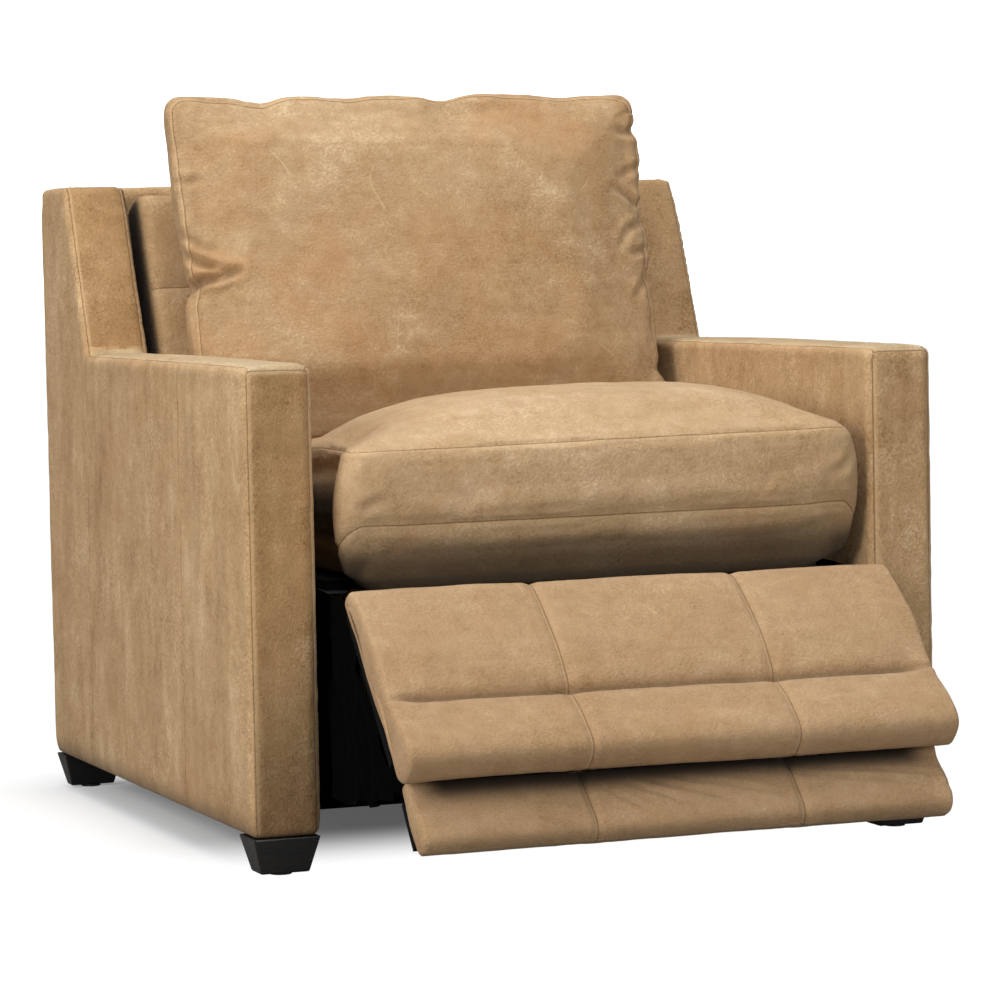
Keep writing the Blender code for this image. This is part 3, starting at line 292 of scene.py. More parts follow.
def nearest(points, line):
    """Distance from points to a line, the length run along it, the offset and the direction."""
    line = np.asarray(line, float)
    best = np.full(len(points), FAR_AWAY)
    along = np.zeros(len(points))
    offset = np.zeros((len(points), 3))
    way = np.zeros((len(points), 3))
    run = 0.0
    for a, b in zip(line, line[1:]):
        side = b - a
        length = max(np.linalg.norm(side), 1e-9)
        t = np.clip((points - a) @ side / length ** 2, 0, 1)
        gap = points - a - t[:, None] * side
        distance = np.linalg.norm(gap, axis=1)
        near = distance < best
        best[near] = distance[near]
        along[near] = run + t[near] * length
        offset[near] = gap[near]
        way[near] = side / length
        run += length
    return best, along, offset, way, run


def seam_field(thing, seams):
    """Stores the distance to the nearest seam, signed by its side, and the length along it.

    With q the nearest point of a seam of direction t and n the normal, the sign is that of
    (t x n).(p - q). The distance without its sign is kept too.
    """
    points = points_of(thing)
    normals = normals_of(thing)
    best = np.full(len(points), FAR_AWAY)
    sign = np.ones(len(points))
    along = np.zeros(len(points))
    for line in seams:
        distance, run, offset, way, _ = nearest(points, line)
        near = distance < best
        best[near] = distance[near]
        along[near] = run[near]
        flip = np.einsum("ij,ij->i", np.cross(way, normals), offset)[near]
        sign[near] = np.where(flip < 0, -1, 1)
    store(thing, "seam", best * sign)
    store(thing, "beside", best)
    store(thing, "along", along)
    return best, along


def seam_grid(along, away, stretch):
    """Places for noise that follows a seam: along it and, stretched, away from it."""
    return np.stack([along, away * stretch, along * 0], 1)


def fold_lift(points, line, width, depth):
    """A fold with a ridge beside it: depth (0.55 bell(d - 1.9 w) - bell(d)), with tapered ends."""
    reach = np.abs(points - np.mean(line, axis=0)).max(1) < 0.16
    lift = np.zeros(len(points))
    distance, along, _, _, run = nearest(points[reach], curve_through(line, 14))
    taper = np.sin(math.pi * np.clip(along / run, 0.04, 0.96)) ** 0.6
    shape = 0.55 * bell(distance - 1.9 * width, width) - bell(distance, width)
    lift[reach] = depth * taper * shape
    return lift


def dent(points, centre, radius, push):
    """Moves points near a centre by push, fading as exp(-(d / radius)^2)."""
    gone = (points - centre) / radius
    return points + np.exp(-(gone ** 2).sum(1))[:, None] * push


# %% [markdown]
# Every material is built from nodes, in the object's own coordinates, so that a pattern has its
# real size in millimetres: a noise of scale 300 has a period of 1000 / 300 mm.

# %% Node tools


def linear(code):
    """An sRGB hex code as linear RGBA: ((c + 0.055) / 1.055)^2.4, or c / 12.92 up to 0.04045."""
    parts = [int(code[k:k + 2], 16) / 255 for k in (1, 3, 5)]
    bright = [((c + 0.055) / 1.055) ** 2.4 if c > 0.04045 else c / 12.92 for c in parts]
    return (*bright, 1.0)


def node(tree, kind, inputs=(), **settings):
    """Adds one shader node, sets its properties, and links or fills its inputs."""
    made = tree.nodes.new(kind)
    for key, value in settings.items():
        setattr(made, key, value)
    for key, value in dict(inputs).items():
        if isinstance(value, bpy.types.NodeSocket):
            tree.links.new(value, made.inputs[key])
        else:
            made.inputs[key].default_value = value
    return made.outputs


def clouds(tree, spot, scale, detail=2.0, twist=0.0, rough=0.5):
    """A noise texture's outputs: the value, then the colour."""
    return node(tree, "ShaderNodeTexNoise", {"Vector": spot, "Scale": scale, "Detail": detail,
                                             "Distortion": twist, "Roughness": rough})


def stretched(tree, spot, scale):
    """A place scaled along each axis."""
    return node(tree, "ShaderNodeMapping", {"Vector": spot, "Scale": scale})[0]


def remap(tree, value, low, high, first, last, **how):
    """Turns low..high into first..last, held to those two."""
    inputs = {0: value, 1: low, 2: high, 3: first, 4: last}
    return node(tree, "ShaderNodeMapRange", inputs, **how)[0]


def maths(tree, kind, *values):
    """One Math node on values, in order."""
    return node(tree, "ShaderNodeMath", dict(enumerate(values)), operation=kind)[0]


def vectors(tree, kind, *values):
    """One Vector Math node on values, in order."""
    return node(tree, "ShaderNodeVectorMath", dict(enumerate(values)), operation=kind)[0]


def attribute(tree, name):
    """One of the numbers that store() keeps."""
    return node(tree, "ShaderNodeAttribute", attribute_name=name)["Fac"]


def blend_colour(tree, share, first, second):
    """Mixes two colours by a share."""
    return node(tree, "ShaderNodeMix", {0: share, 6: first, 7: second}, data_type="RGBA")[2]


def ramp(tree, value, stops):
    """A colour ramp: stops are (place, hex colour)."""
    out = node(tree, "ShaderNodeValToRGB", {"Fac": value})
    line = out[0].node.color_ramp
    while len(line.elements) < len(stops):
        line.elements.new(0.5)
    for element, (spot, code) in zip(line.elements, stops):
        element.position = spot
        element.color = linear(code)
    return out[0]


def bumped(tree, height, strength, distance, **under):
    """A bump of a height, on top of the Normal given."""
    return node(tree, "ShaderNodeBump", {"Height": height, "Strength": strength,
                                         "Distance": distance, **under})[0]


def new_material(name, **sockets):
    """A material with one Principled shader, whose constant inputs are given by name."""
    made = bpy.data.materials.new(name)
    made.use_nodes = True
    shader = made.node_tree.nodes["Principled BSDF"]
    for key, value in sockets.items():
        title = key.replace("_", " ").title().replace("Ior", "IOR")
        shader.inputs[title].default_value = value
    return made, made.node_tree, shader


# %% [markdown]
# Leather. Its tone is a sum of clouds from 300 mm down to 3 mm. Warm patches, pale scuffs, the
# pale ridge beside a seam, part rub wear and part painted highlight, the stitching and painted
# shade in creases, gaps and hollows are then mixed over it.

# %% Leather
TONE_STOPS = (0.22, 0.42, 0.58, 0.78)
CLOUD_LAYERS = ((3.4, 3, 0.4, 0.34), (11.0, 5, 0.9, 0.38), (48.0, 4, 0.5, 0.36))
NAP_SCALE = 300.0
NAP_STRETCH = 0.10
WARM_BROWN = "#ac7f52"
SCUFF_PALE = "#dcc19a"
RIDGE_RUB_AND_HIGHLIGHT_PALE = "#cdae84"
STITCH_BROWN = "#694720"
PAINTED_SHADE_BROWN = "#1f160b"
SEAM_REACH = 0.012


def add_layer(tree, tone, grain, weight):
    """tone + weight (grain - 0.5)."""
    tone = maths(tree, "MULTIPLY_ADD", grain, weight, tone)
    return maths(tree, "SUBTRACT", tone, weight / 2)


def leather_tone(tree, spot, streak, brush, mottle):
    """The tone, 0.5 + sum of weights times (noise - 0.5), and the nap that is part of it."""
    tone = 0.5
    for scale, detail, twist, weight in CLOUD_LAYERS:
        tone = add_layer(tree, tone, clouds(tree, spot, scale, detail, twist)[0], weight)
    worn = remap(tree, clouds(tree, spot, 8.0, 3, 1.4)[0], 0.35, 0.65, 0.42, 1.0)
    drawn = tuple((v / max(brush)) ** NAP_STRETCH for v in brush)
    nap = clouds(tree, stretched(tree, spot, drawn), NAP_SCALE, 5, rough=0.72)[0]
    nap = remap(tree, nap, 0.30, 0.70, -mottle, mottle)
    tone = maths(tree, "MULTIPLY_ADD", nap, worn, tone)
    fall = clouds(tree, stretched(tree, spot, brush), 1.0, 2, 0.5, 0.55)[0]
    return add_layer(tree, tone, fall, streak), nap


def scuffs(tree, spot):
    """Thin lines where a soft noise crosses 0.5, kept only inside a few patches."""
    lines = maths(tree, "SUBTRACT", clouds(tree, spot, 3.2, 0.6)[0], 0.5)
    lines = remap(tree, maths(tree, "ABSOLUTE", lines), 0.0, 0.0024, 1.0, 0.0)
    where = remap(tree, clouds(tree, spot, 13.0, 1)[0], 0.57, 0.64, 0.0, 0.35)
    return maths(tree, "MULTIPLY", lines, where)


def leather(name, tones, streak, brush, warm=0.25, ridge_rub_and_highlight=0.38, mottle=0.20):
    """Brushed aniline leather. Brush is the scale of its streaks along each axis."""
    made, tree, shader = new_material(name, roughness=0.7, specular_ior_level=0.22,
                                      sheen_weight=0.07, sheen_roughness=0.45)
    spot = node(tree, "ShaderNodeTexCoord")["Object"]
    tone, nap = leather_tone(tree, spot, streak, brush, mottle)
    colour = ramp(tree, tone, list(zip(TONE_STOPS, tones)))
    patch = remap(tree, clouds(tree, spot, 6.5, 4, 1.1)[0], 0.48, 0.68, 0.0, warm)
    colour = blend_colour(tree, patch, colour, linear(WARM_BROWN))
    colour = blend_colour(tree, scuffs(tree, spot), colour, linear(SCUFF_PALE))

    signed = attribute(tree, "seam")
    clear = maths(tree, "GREATER_THAN", attribute(tree, "beside"), SEAM_REACH)
    away = maths(tree, "ADD", maths(tree, "ABSOLUTE", signed), clear)
    # The pale ridge beside a seam is part rub wear and part painted highlight on the raised welt.
    ridge = maths(tree, "ABSOLUTE", maths(tree, "SUBTRACT", signed, 0.0022))
    ridge = remap(tree, maths(tree, "ADD", ridge, clear), 0.0008, 0.0030, ridge_rub_and_highlight, 0.0)
    colour = blend_colour(tree, ridge, colour, linear(RIDGE_RUB_AND_HIGHLIGHT_PALE))
    stitch = remap(tree, away, 0.0004, 0.0014, 0.62, 0.0)
    colour = blend_colour(tree, stitch, colour, linear(STITCH_BROWN))
    # Painted shade: the stored shade attribute mixes the leather towards a dark brown where shade
    # falls.
    colour = blend_colour(tree, attribute(tree, "painted_shade"), colour, linear(PAINTED_SHADE_BROWN))
    tree.links.new(colour, shader.inputs["Base Color"])
    tree.links.new(remap(tree, tone, 0.2, 0.8, 0.84, 0.62), shader.inputs["Roughness"])

    cells = node(tree, "ShaderNodeTexVoronoi", {"Vector": spot, "Scale": 420.0})[0]
    bump = bumped(tree, maths(tree, "MULTIPLY_ADD", nap, 6.0, cells), 0.5, 0.0008)
    bent = vectors(tree, "MULTIPLY", clouds(tree, spot, 9.0, 3)[1], (0.22, 0.22, 0.22))
    slack = clouds(tree, vectors(tree, "ADD", spot, bent), 42.0, 3, 0.8)[0]
    bump = bumped(tree, slack, 0.35, 0.002, Normal=bump)
    groove = remap(tree, away, 0.0, 0.0018, 0.0, 1.0, interpolation_type="SMOOTHSTEP")
    bump = bumped(tree, groove, 0.5, 0.0010, Normal=bump)
    tree.links.new(bump, shader.inputs["Normal"])
    return made


# %% [markdown]
# Six hides of that leather: four tones from dark to pale, the strength of the streaks, and the
# brush that says which way they run.

# %% Leathers
ARM_LEATHER = leather("leather_arms", ("#927045", "#b08e65", "#bd9b71", "#d5b68f"),
                      0.45, (24, 24, 5), mottle=0.30)
ARM_FRONT = leather("leather_arm_fronts", ("#7c5a34", "#98764e", "#a6845a", "#b99a72"),
                    0.2, (26, 26, 2.6), mottle=0.26)
# Paler tones on the arm tops: painted sheen of the light from above.
ARM_TOP_PAINTED_SHEEN = leather("leather_arm_tops_painted_sheen", ("#90754e", "#ae9571", "#bba37f", "#d4c0a1"),
                  0.35, (26, 5, 26), warm=0.1)
SEAT_LEATHER = leather("leather_seat", ("#987a52", "#b2936c", "#bd9f7a", "#d3b893"),
                       0.2, (9, 60, 9), warm=0.3)
PILLOW_LEATHER = leather("leather_pillow", ("#8a6943", "#a4845e", "#b1936e", "#cbb38f"),
                         0.22, (9, 9, 60), warm=0.35)
REST_LEATHER = leather("leather_footrest", ("#8d6f4a", "#a3835f", "#ad8e6a", "#bfa17e"),
                       0.16, (9, 60, 60), warm=0.12, ridge_rub_and_highlight=0.3)
print("leathers", len(bpy.data.materials))

# %% [markdown]
# The hard parts and the black cloths each have two close tones and a fine bump. Every node of the
# frame gets the material of its slot. The deck and the boards are covered in cloth.

# %% Hard materials and cloths


def grained(name, first, second, scale, roughness, bump=0.2, size=0.0004, metallic=0.0,
            stretch=(1, 1, 1), gloss=0.5):
    """A plain material: two close colours in noise, with a fine bump of the same noise."""
    made, tree, shader = new_material(name, roughness=roughness, metallic=metallic,
                                      specular_ior_level=gloss)
    spot = stretched(tree, node(tree, "ShaderNodeTexCoord")["Object"], stretch)
    grain = clouds(tree, spot, scale, 5)[0]
    colour = ramp(tree, grain, [(0.35, first), (0.65, second)])
    tree.links.new(colour, shader.inputs["Base Color"])
    rough = remap(tree, grain, 0.3, 0.7, roughness - 0.06, roughness + 0.08)
    tree.links.new(rough, shader.inputs["Roughness"])
    tree.links.new(bumped(tree, grain, bump, size), shader.inputs["Normal"])
    return made


CURTAIN_CLOTH = grained("cloth_black_curtain", "#010202", "#040504", 260, 0.9, bump=0.4,
                        size=0.0015, gloss=0.03)
CLOTH = grained("cloth_black_spunbond", "#030404", "#070808", 700, 0.92, bump=0.6, size=0.0008,
                gloss=0.15)
COVERED = ("seat_deck", "footrest_board", "flipper_board")
by_slot = {
    "black_steel": grained("steel_black_powder_coat", "#0c0c0d", "#17171a", 900, 0.5, metallic=0.3),
    "bright_steel": grained("steel_zinc_plated", "#8f9092", "#a9aaab", 300, 0.35, metallic=1.0),
    "plywood": grained("plywood_raw_birch", "#b08a56", "#c9a671", 30, 0.7, stretch=(1, 9, 9)),
    "black_wood": grained("wood_ebonised_satin", "#0b0a0a", "#171514", 60, 0.38, bump=0.12,
                          stretch=(1, 1, 8)),
    "black_plastic": grained("plastic_black_moulded", "#0f0f10", "#18181a", 1400, 0.55),
    "black_cloth": CLOTH,
    "leather": ARM_LEATHER,
}
for part in frame["record"]["subparts"]:
    shown = nodes[part["node"]]
    shown.data.materials.clear()
    covered = part["node"] in COVERED
    shown.data.materials.append(CLOTH if covered else by_slot[part["material_slot"]])
print("materials", len(bpy.data.materials))

# %% [markdown]
# A finished soft piece says which node it stands for and which body it rides on, and gets its
# leather.

# %% Finishing tool


def upholster(thing, material, body, replaced):
    """Gives a soft piece its leather and ties it to the frame."""
    thing.data.materials.clear()
    thing.data.materials.append(material)
    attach(thing, body)
    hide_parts(replaced)
    print(thing.name, len(thing.data.polygons), "faces")
    return thing


# %% [markdown]
# The arms. Seams run along both edges of the boxing that wraps the front, the top and the wing,
# and down the outer side. The leather is pulled in at the seams and lifts a little between them.

# %% Arms
ARM_VOXEL = 0.0052
SEAM_INSET = 0.005
ARM_HEIGHT = 0.635
WING_HEIGHT = 0.875
WING_BASE = 0.742
WING_PEAK = 0.842
FOOT_LINE = 0.0494
ARM_OUTLINE = ((0.0, FOOT_LINE), (0.0, ARM_HEIGHT), (WING_BASE, ARM_HEIGHT),
               (WING_PEAK, WING_HEIGHT), (REAR - FRONT, WING_HEIGHT), (REAR - FRONT, FOOT_LINE))
SIDE_SEAMS = ((0.289, 0.285), (0.757, WING_BASE))
OFF_PLANE = 0.012


def arm_seams(side):
    """Both edges of the boxing, the top of the front, and the seams down the outer side."""
    outer = side * (HALF_CHAIR - SEAM_INSET)
    inner = side * (HALF_INSIDE + SEAM_INSET)
    depths, heights = np.array(ARM_OUTLINE).T
    seams = [place_at(outer, depths, heights), place_at(inner, depths, heights)]
    seams.append(place_at((outer, inner), 0.0, ARM_HEIGHT - SEAM_INSET))
    for depths in SIDE_SEAMS:
        seams.append(place_at(side * HALF_CHAIR, depths, (FOOT_LINE, ARM_HEIGHT)))
    return seams


def arm(name, key, side):
    """One arm: the CAD block in even quads, moved along its normals by padding and slack."""
    thing = remesh(add_object(name, nodes[key].data.copy()), ARM_VOXEL, 5)
    points = points_of(thing)
    normals = normals_of(thing)
    away, along = seam_field(thing, arm_seams(side))
    depth = depth_of(points)
    height = points[:, 2]
    upward = smooth(0.5, 0.9, normals[:, 2])
    outward = smooth(0.5, 0.9, normals[:, 0] * side)
    inward = smooth(0.5, 0.9, -normals[:, 0] * side)
    forward = smooth(0.5, 0.9, -normals[:, 1])
    lift = 0.0035 * outward + 0.003 * inward + 0.003 * forward
    lift *= 1 - np.exp(-away / 0.03)
    crown = upward * (1 - np.exp(-away / 0.022)) * (height < ARM_HEIGHT + 0.02)
    lift += crown * (0.004 + 0.005 * np.sin(math.pi * np.clip(depth / WING_BASE, 0, 1)))
    slack = noise(points * (1.0, 1.0, 0.35), 0.05, 3.0 + side)
    lift += 0.0011 * slack * (outward + inward + forward)
    lift += 0.0012 * np.exp(-away / 0.018) * noise(seam_grid(along, away, 4), 0.016, side)
    recovery = 0.0026 * (1 - smooth(WING_HEIGHT - 0.045, WING_HEIGHT - 0.012, height))
    lift += recovery * bell(away, 0.016) - 0.0016 * bell(away, 0.0045)
    above_foot = smooth(FOOT_LINE, FOOT_LINE + 0.03, height)
    set_points(thing, points + normals * (lift * above_foot)[:, None])

    # Painted shade and darkening: a darker band along the foot, painted shade low on the fronts
    # where less light falls from above, the right arm's front a little darker all over, and painted
    # shade on the inner face in the corner by the wing.
    foot_and_front_dark = 0.5 * bell(height - FOOT_LINE, 0.02)
    foot_and_front_dark = np.maximum(foot_and_front_dark, 0.42 * forward * smooth(0.36, 0.06, height))
    foot_and_front_dark = np.maximum(foot_and_front_dark, 0.07 * forward * (side > 0))
    wing_corner_shade = inward * smooth(WING_BASE, WING_PEAK, depth)
    wing_corner_shade *= smooth(ARM_HEIGHT - 0.05, ARM_HEIGHT, height)
    store(thing, "painted_shade", np.maximum(foot_and_front_dark, 0.9 * wing_corner_shade))
    return upholster(thing, ARM_LEATHER, "base", key)


left_arm = arm("arm_cover_left", "arm_left", -1)
right_arm = arm("arm_cover_right", "arm_right", 1)

# %% [markdown]
# The boxing, between the two edge seams, is cut from other hides: a paler one on the tops, whose
# paleness is painted sheen of the light from above, and a darker one on the left arm's front and
# wing.

# %% Arms: fronts and tops


def cut_boxing(cover, own_front):
    """Gives the faces of the boxing their own leather."""
    cover.data.materials.append(ARM_FRONT)
    cover.data.materials.append(ARM_TOP_PAINTED_SHEEN)
    centres = read(cover.data.polygons, "center")
    depth = depth_of(centres)
    height = centres[:, 2]
    slope = (WING_PEAK - WING_BASE) / (WING_HEIGHT - ARM_HEIGHT)
    wing_line = WING_BASE + (height - ARM_HEIGHT) * slope
    on_wing = (height > ARM_HEIGHT + OFF_PLANE) & (depth < wing_line + OFF_PLANE)
    at_front = (depth < OFF_PLANE) & (height < ARM_HEIGHT - SEAM_INSET) | on_wing
    at_top = (height > ARM_HEIGHT - SEAM_INSET) & (height < ARM_HEIGHT + OFF_PLANE)
    at_top &= ~on_wing & (depth < WING_BASE)
    from_middle = np.abs(np.abs(centres[:, 0]) - (HALF_CHAIR + HALF_INSIDE) / 2)
    between = from_middle < (HALF_CHAIR - HALF_INSIDE) / 2 - SEAM_INSET
    hide = between * (1 * (at_front & own_front) + 2 * at_top)
    cover.data.polygons.foreach_set("material_index", hide.astype(np.int32))
    print(cover.name, "faces of each leather", np.bincount(hide).tolist())


cut_boxing(left_arm, True)
cut_boxing(right_arm, False)

# %% [markdown]
# The outside back and the inner back. The inner back leans by 22 degrees and has one seam across
# it. The outside back has two upright seams.

# %% Backs
INNER_LEAN = math.radians(22.0)
INNER_FOOT = (0.6703, 0.412)
INNER_SEAM = 0.729
BACK_SEAMS = (-0.19, 0.19)


def padded_panel(name, key, body, seams, lift, voxel, shade=0.0):
    """A CAD panel in even quads, lifted between its seams and edges."""
    thing = remesh(add_object(name, nodes[key].data.copy()), voxel, 4)
    points = points_of(thing)
    across = points[:, 0]
    away = seam_field(thing, seams)[0]
    edge = np.minimum(across - across.min(), across.max() - across)
    facing = smooth(0.3, 0.9, -normals_of(thing)[:, 1])
    swell = lift * facing * (1 - np.exp(-np.minimum(away, edge) / 0.03))
    swell += 0.001 * noise(points, 0.06, 5.0)
    swell -= 0.0018 * bell(away, 0.005)
    set_points(thing, points + normals_of(thing) * swell[:, None])
    # Painted shade: darker along the panel's side edges and a little all over.
    store(thing, "painted_shade", shade * bell(edge, 0.006) + 0.06 * shade)
    upholster(thing, ARM_LEATHER, body, key)


inner_low, inner_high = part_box("inner_back")
seam_depth = INNER_FOOT[0] + (INNER_SEAM - INNER_FOOT[1]) * math.tan(INNER_LEAN)
inner_seams = [place_at((inner_low.x, inner_high.x), seam_depth, INNER_SEAM)]
padded_panel("inner_back_cover", "inner_back", "back", inner_seams, 0.004, 0.006, shade=0.9)
back_seams = [place_at(x, REAR - FRONT, (FOOT_LINE, WING_HEIGHT)) for x in BACK_SEAMS]
padded_panel("outside_back_cover", "outside_back", "base", back_seams, 0.001, 0.007)

# %% [markdown]
# The seat cushion: a crowned box with two seams round its boxing. It starts as rings around a
# plan outline, is remeshed evenly, swells as cloth under pressure, and is pulled in at the seams.
# A ring is given by its half width, its front edge's depth and its height.

# %% Seat cushion: rings
SEAT_VOXEL = 0.0062
SEAT_SHIFT = 0.009
SEAT_CORNER = 0.034
SEAT_MIDDLE = 0.26
SEAT_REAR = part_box("seat_cushion")[1].y - FRONT - 0.006
TOP_SEAM = 0.532
LOW_SEAM = 0.434
DECK_LEVEL = 0.3615
LIP_LEVEL = 0.345
TOP_RING = (0.349, -0.012, TOP_SEAM)
LOW_RING = (0.3605, -0.009, LOW_SEAM)


def off_middle(points):
    """How far points are to either side of the seat's middle."""
    return np.abs(points[:, 0] - SEAT_SHIFT)


def seat_ring(half, front, level, rear=0.0, share=1.0):
    """One ring of the seat: a rounded plan, scaled to its share, with the sides drawn in."""
    plan = rounded_plan(half, front, SEAT_REAR - rear, SEAT_CORNER) * share
    plan = plan + (0, SEAT_MIDDLE * (1 - share))
    below = smooth(TOP_SEAM, TOP_SEAM - 0.04, level)
    backward = smooth(0.010, 0.064, plan[:, 1])
    drawn = 1 - (0.030 + 0.046 * below) * backward * smooth(0.2, 0.9, share)
    return place_at(plan[:, 0] * drawn + SEAT_SHIFT, plan[:, 1], level)


def low_level(ring):
    """The lower seam dips by 31 mm where it turns the front corners."""
    sideways = np.clip(off_middle(ring) - 0.335, 0, None)
    backward = np.clip(depth_of(ring), 0, None) * (sideways > 0)
    return ring[:, 2] - 0.031 * np.clip((sideways + backward) / 0.046, 0, 1)


def dome(ring):
    """Crown of the top: (1 - u^p)^q across, an arc from the front, and a fall to the rear.

    p and q go from 3 and 1.15 on the left to 4.2 and 1 on the right, where the filling is fuller,
    and to 1.8 and 2.45 at the left behind, where it has been pressed down.
    """
    across = (ring[:, 0] - SEAT_SHIFT) / 0.345
    u = np.clip(np.abs(across), 0, 1)
    fuller = smooth(-0.3, 0.5, across)
    pressed = smooth(0.20, 0.42, depth_of(ring)) * (1 - fuller)
    p = 3.0 + 1.2 * fuller - 1.2 * pressed
    q = 1.15 - 0.15 * fuller + 1.3 * pressed
    back = depth_of(ring) + 0.012
    front_rise = (1 - (1 - np.clip(back / 0.19, 0, 1)) ** 2.3) ** 0.9
    rear_fall = 1 - 0.38 * smooth(0.22, 0.50, back) - 0.55 * smooth(0.48, 0.70, back)
    return 0.055 * (1 - u ** p) ** q * front_rise * rear_fall


seat_rings = []
for share in (0.15, 0.45, 0.75, 0.93):
    ring = seat_ring(0.326, 0.046, DECK_LEVEL, 0.02, share)
    ring[:, 2] -= (DECK_LEVEL - LIP_LEVEL) * (1 - smooth(0.080, 0.100, depth_of(ring)))
    seat_rings.append(ring)
for half, front, level in ((0.331, 0.040, 0.347), (0.343, 0.020, 0.362), (0.354, 0.002, 0.394),
                           (0.359, -0.006, 0.424)):
    ring = seat_ring(half, front, level, 0.004)
    lowest = np.where(depth_of(ring) > 0.105, DECK_LEVEL, LIP_LEVEL)
    ring[:, 2] = np.maximum(low_level(ring), lowest)
    seat_rings.append(ring)
boxing = [(*LOW_RING, 1.0), (0.3635, -0.015, 0.458, 0.7), (0.3630, -0.0175, 0.484, 0.3),
          (0.3570, -0.0165, 0.512, 0.08), (*TOP_RING, 0.0)]
for half, front, level, dip in curve_through(boxing, 13):
    ring = seat_ring(half, front, level)
    ring[:, 2] += dip * (low_level(ring) - ring[:, 2])
    seat_rings.append(ring)
for share in (0.975, 0.93, 0.86, 0.76, 0.64, 0.50, 0.34, 0.18, 0.06):
    ring = seat_ring(*TOP_RING, share=share)
    ring[:, 2] += dome(ring)
    seat_rings.append(ring)
print("seat rings", len(seat_rings))

# %% Seat cushion: cloth
seat = remesh(rings_object("seat_cushion_cover", seat_rings), SEAT_VOXEL, 3)
low_ring = seat_ring(*LOW_RING)
low_ring[:, 2] = low_level(low_ring)
away = seam_field(seat, [closed_up(low_ring), closed_up(seat_ring(*TOP_RING))])[0]
points = points_of(seat)
free_top = smooth(TOP_SEAM - 0.01, TOP_SEAM + 0.02, points[:, 2])
middle = 1 - np.clip(off_middle(points) / 0.36, 0, 1) ** 3
cap = 0.002 + 0.005 * free_top * smooth(0.0, 0.09, away) * middle
cap += 0.002 * smooth(0.0, 0.04, away)
inflate(seat, cap * smooth(0.345, 0.40, points[:, 2]))
subdivide(seat)

# %% Seat cushion: seams, folds, rake and shade
SEAT_FOLDS = (((-325, -4, 520), (-318, -18, 500), (-306, -20, 470)),
              ((-340, 4, 450), (-326, -10, 462), (-300, -16, 468)),
              ((345, 4, 500), (330, -14, 478), (305, -18, 470)),
              ((-300, 14, 548), (-270, 40, 560), (-225, 55, 572)))
points = points_of(seat)
away = stored(seat, "beside")
along = stored(seat, "along")
lift = -0.0022 * bell(away, 0.005)
lift += 0.0018 * np.exp(-away / 0.012) * noise(seam_grid(along, away, 2.5), 0.02, 2.0)
lift += 0.0016 * noise(points, 0.055, 8.0) + 0.0006 * noise(points, 0.02, 9.0)
for fold in SEAT_FOLDS:
    across, depth, height = metres(fold).T
    lift += fold_lift(points, place_at(across + SEAT_SHIFT, depth, height), 0.007, 0.0022)
lift *= smooth(0.352, 0.38, points[:, 2])
points = points + normals_of(seat) * lift[:, None]
depth = depth_of(points)
rake = -0.045 * np.clip(depth - 0.14, 0, None) - 0.022 * smooth(0.50, 0.64, depth)
rake -= 0.010 * smooth(0.18, 0.42, depth) * smooth(-0.05, -0.28, points[:, 0])
points[:, 2] += (0.013 * points[:, 0] + rake) * smooth(0.40, 0.48, points[:, 2])
set_points(seat, points)
height = points[:, 2]
# Painted shade: in the gap beside the arms, on the lower boxing and under the cushion, and at its
# low front corners.
side_gap_shade = smooth(0.03, 0.06, depth) * smooth(0.31, 0.335, off_middle(points))
side_gap_shade *= smooth(TOP_SEAM - 0.028, TOP_SEAM - 0.080, height)
below = 0.10 * smooth(0.505, 0.455, height) + 0.66 * smooth(0.435, 0.375, height)
corner = smooth(0.425, 0.385, height) * smooth(0.26, 0.335, off_middle(points))
store(seat, "painted_shade", np.maximum(np.maximum(below, 0.85 * corner), 0.98 * side_gap_shade))
upholster(seat, SEAT_LEATHER, "carriage", "seat_cushion")

# %% [markdown]
# The back pillow, in its own measures: across, up along its lean, and out of its middle plane.
# A ring is given by its half width, its inset at the top and the foot, and its place out.

# %% Back pillow: rings
PILLOW_LEAN = math.radians(15.0)
PILLOW_VOXEL = 0.0060
PILLOW_FOOT = (0.659, 0.537)
PILLOW_TALL = 0.466
PILLOW_SHIFT = 0.005
PILLOW_DROP = 0.045
PILLOW_CORNER = 0.022
FACE_RING = (0.348, 0.009, 0.062)
REAR_SEAM = (0.326, 0.010, -0.028)
SIDE_RINGS = ((0.326, 0.010, -0.030), (0.338, 0.003, -0.008), (0.347, 0.0, 0.014),
              (0.353, 0.0, 0.036), (0.354, 0.002, 0.052), FACE_RING)


def pillow_place(x, up, out):
    """CAD-frame points from the pillow's own measures."""
    depth = PILLOW_FOOT[0] + up * math.sin(PILLOW_LEAN) - out * math.cos(PILLOW_LEAN)
    height = PILLOW_FOOT[1] + up * math.cos(PILLOW_LEAN) + out * math.sin(PILLOW_LEAN)
    return place_at(x + PILLOW_SHIFT, depth, height)


def pillow_outline(half, inset):
    """The pillow's outline, which reaches below its foot into the seat's rear."""
    return rounded_plan(half, inset - PILLOW_DROP, PILLOW_TALL - inset, PILLOW_CORNER)


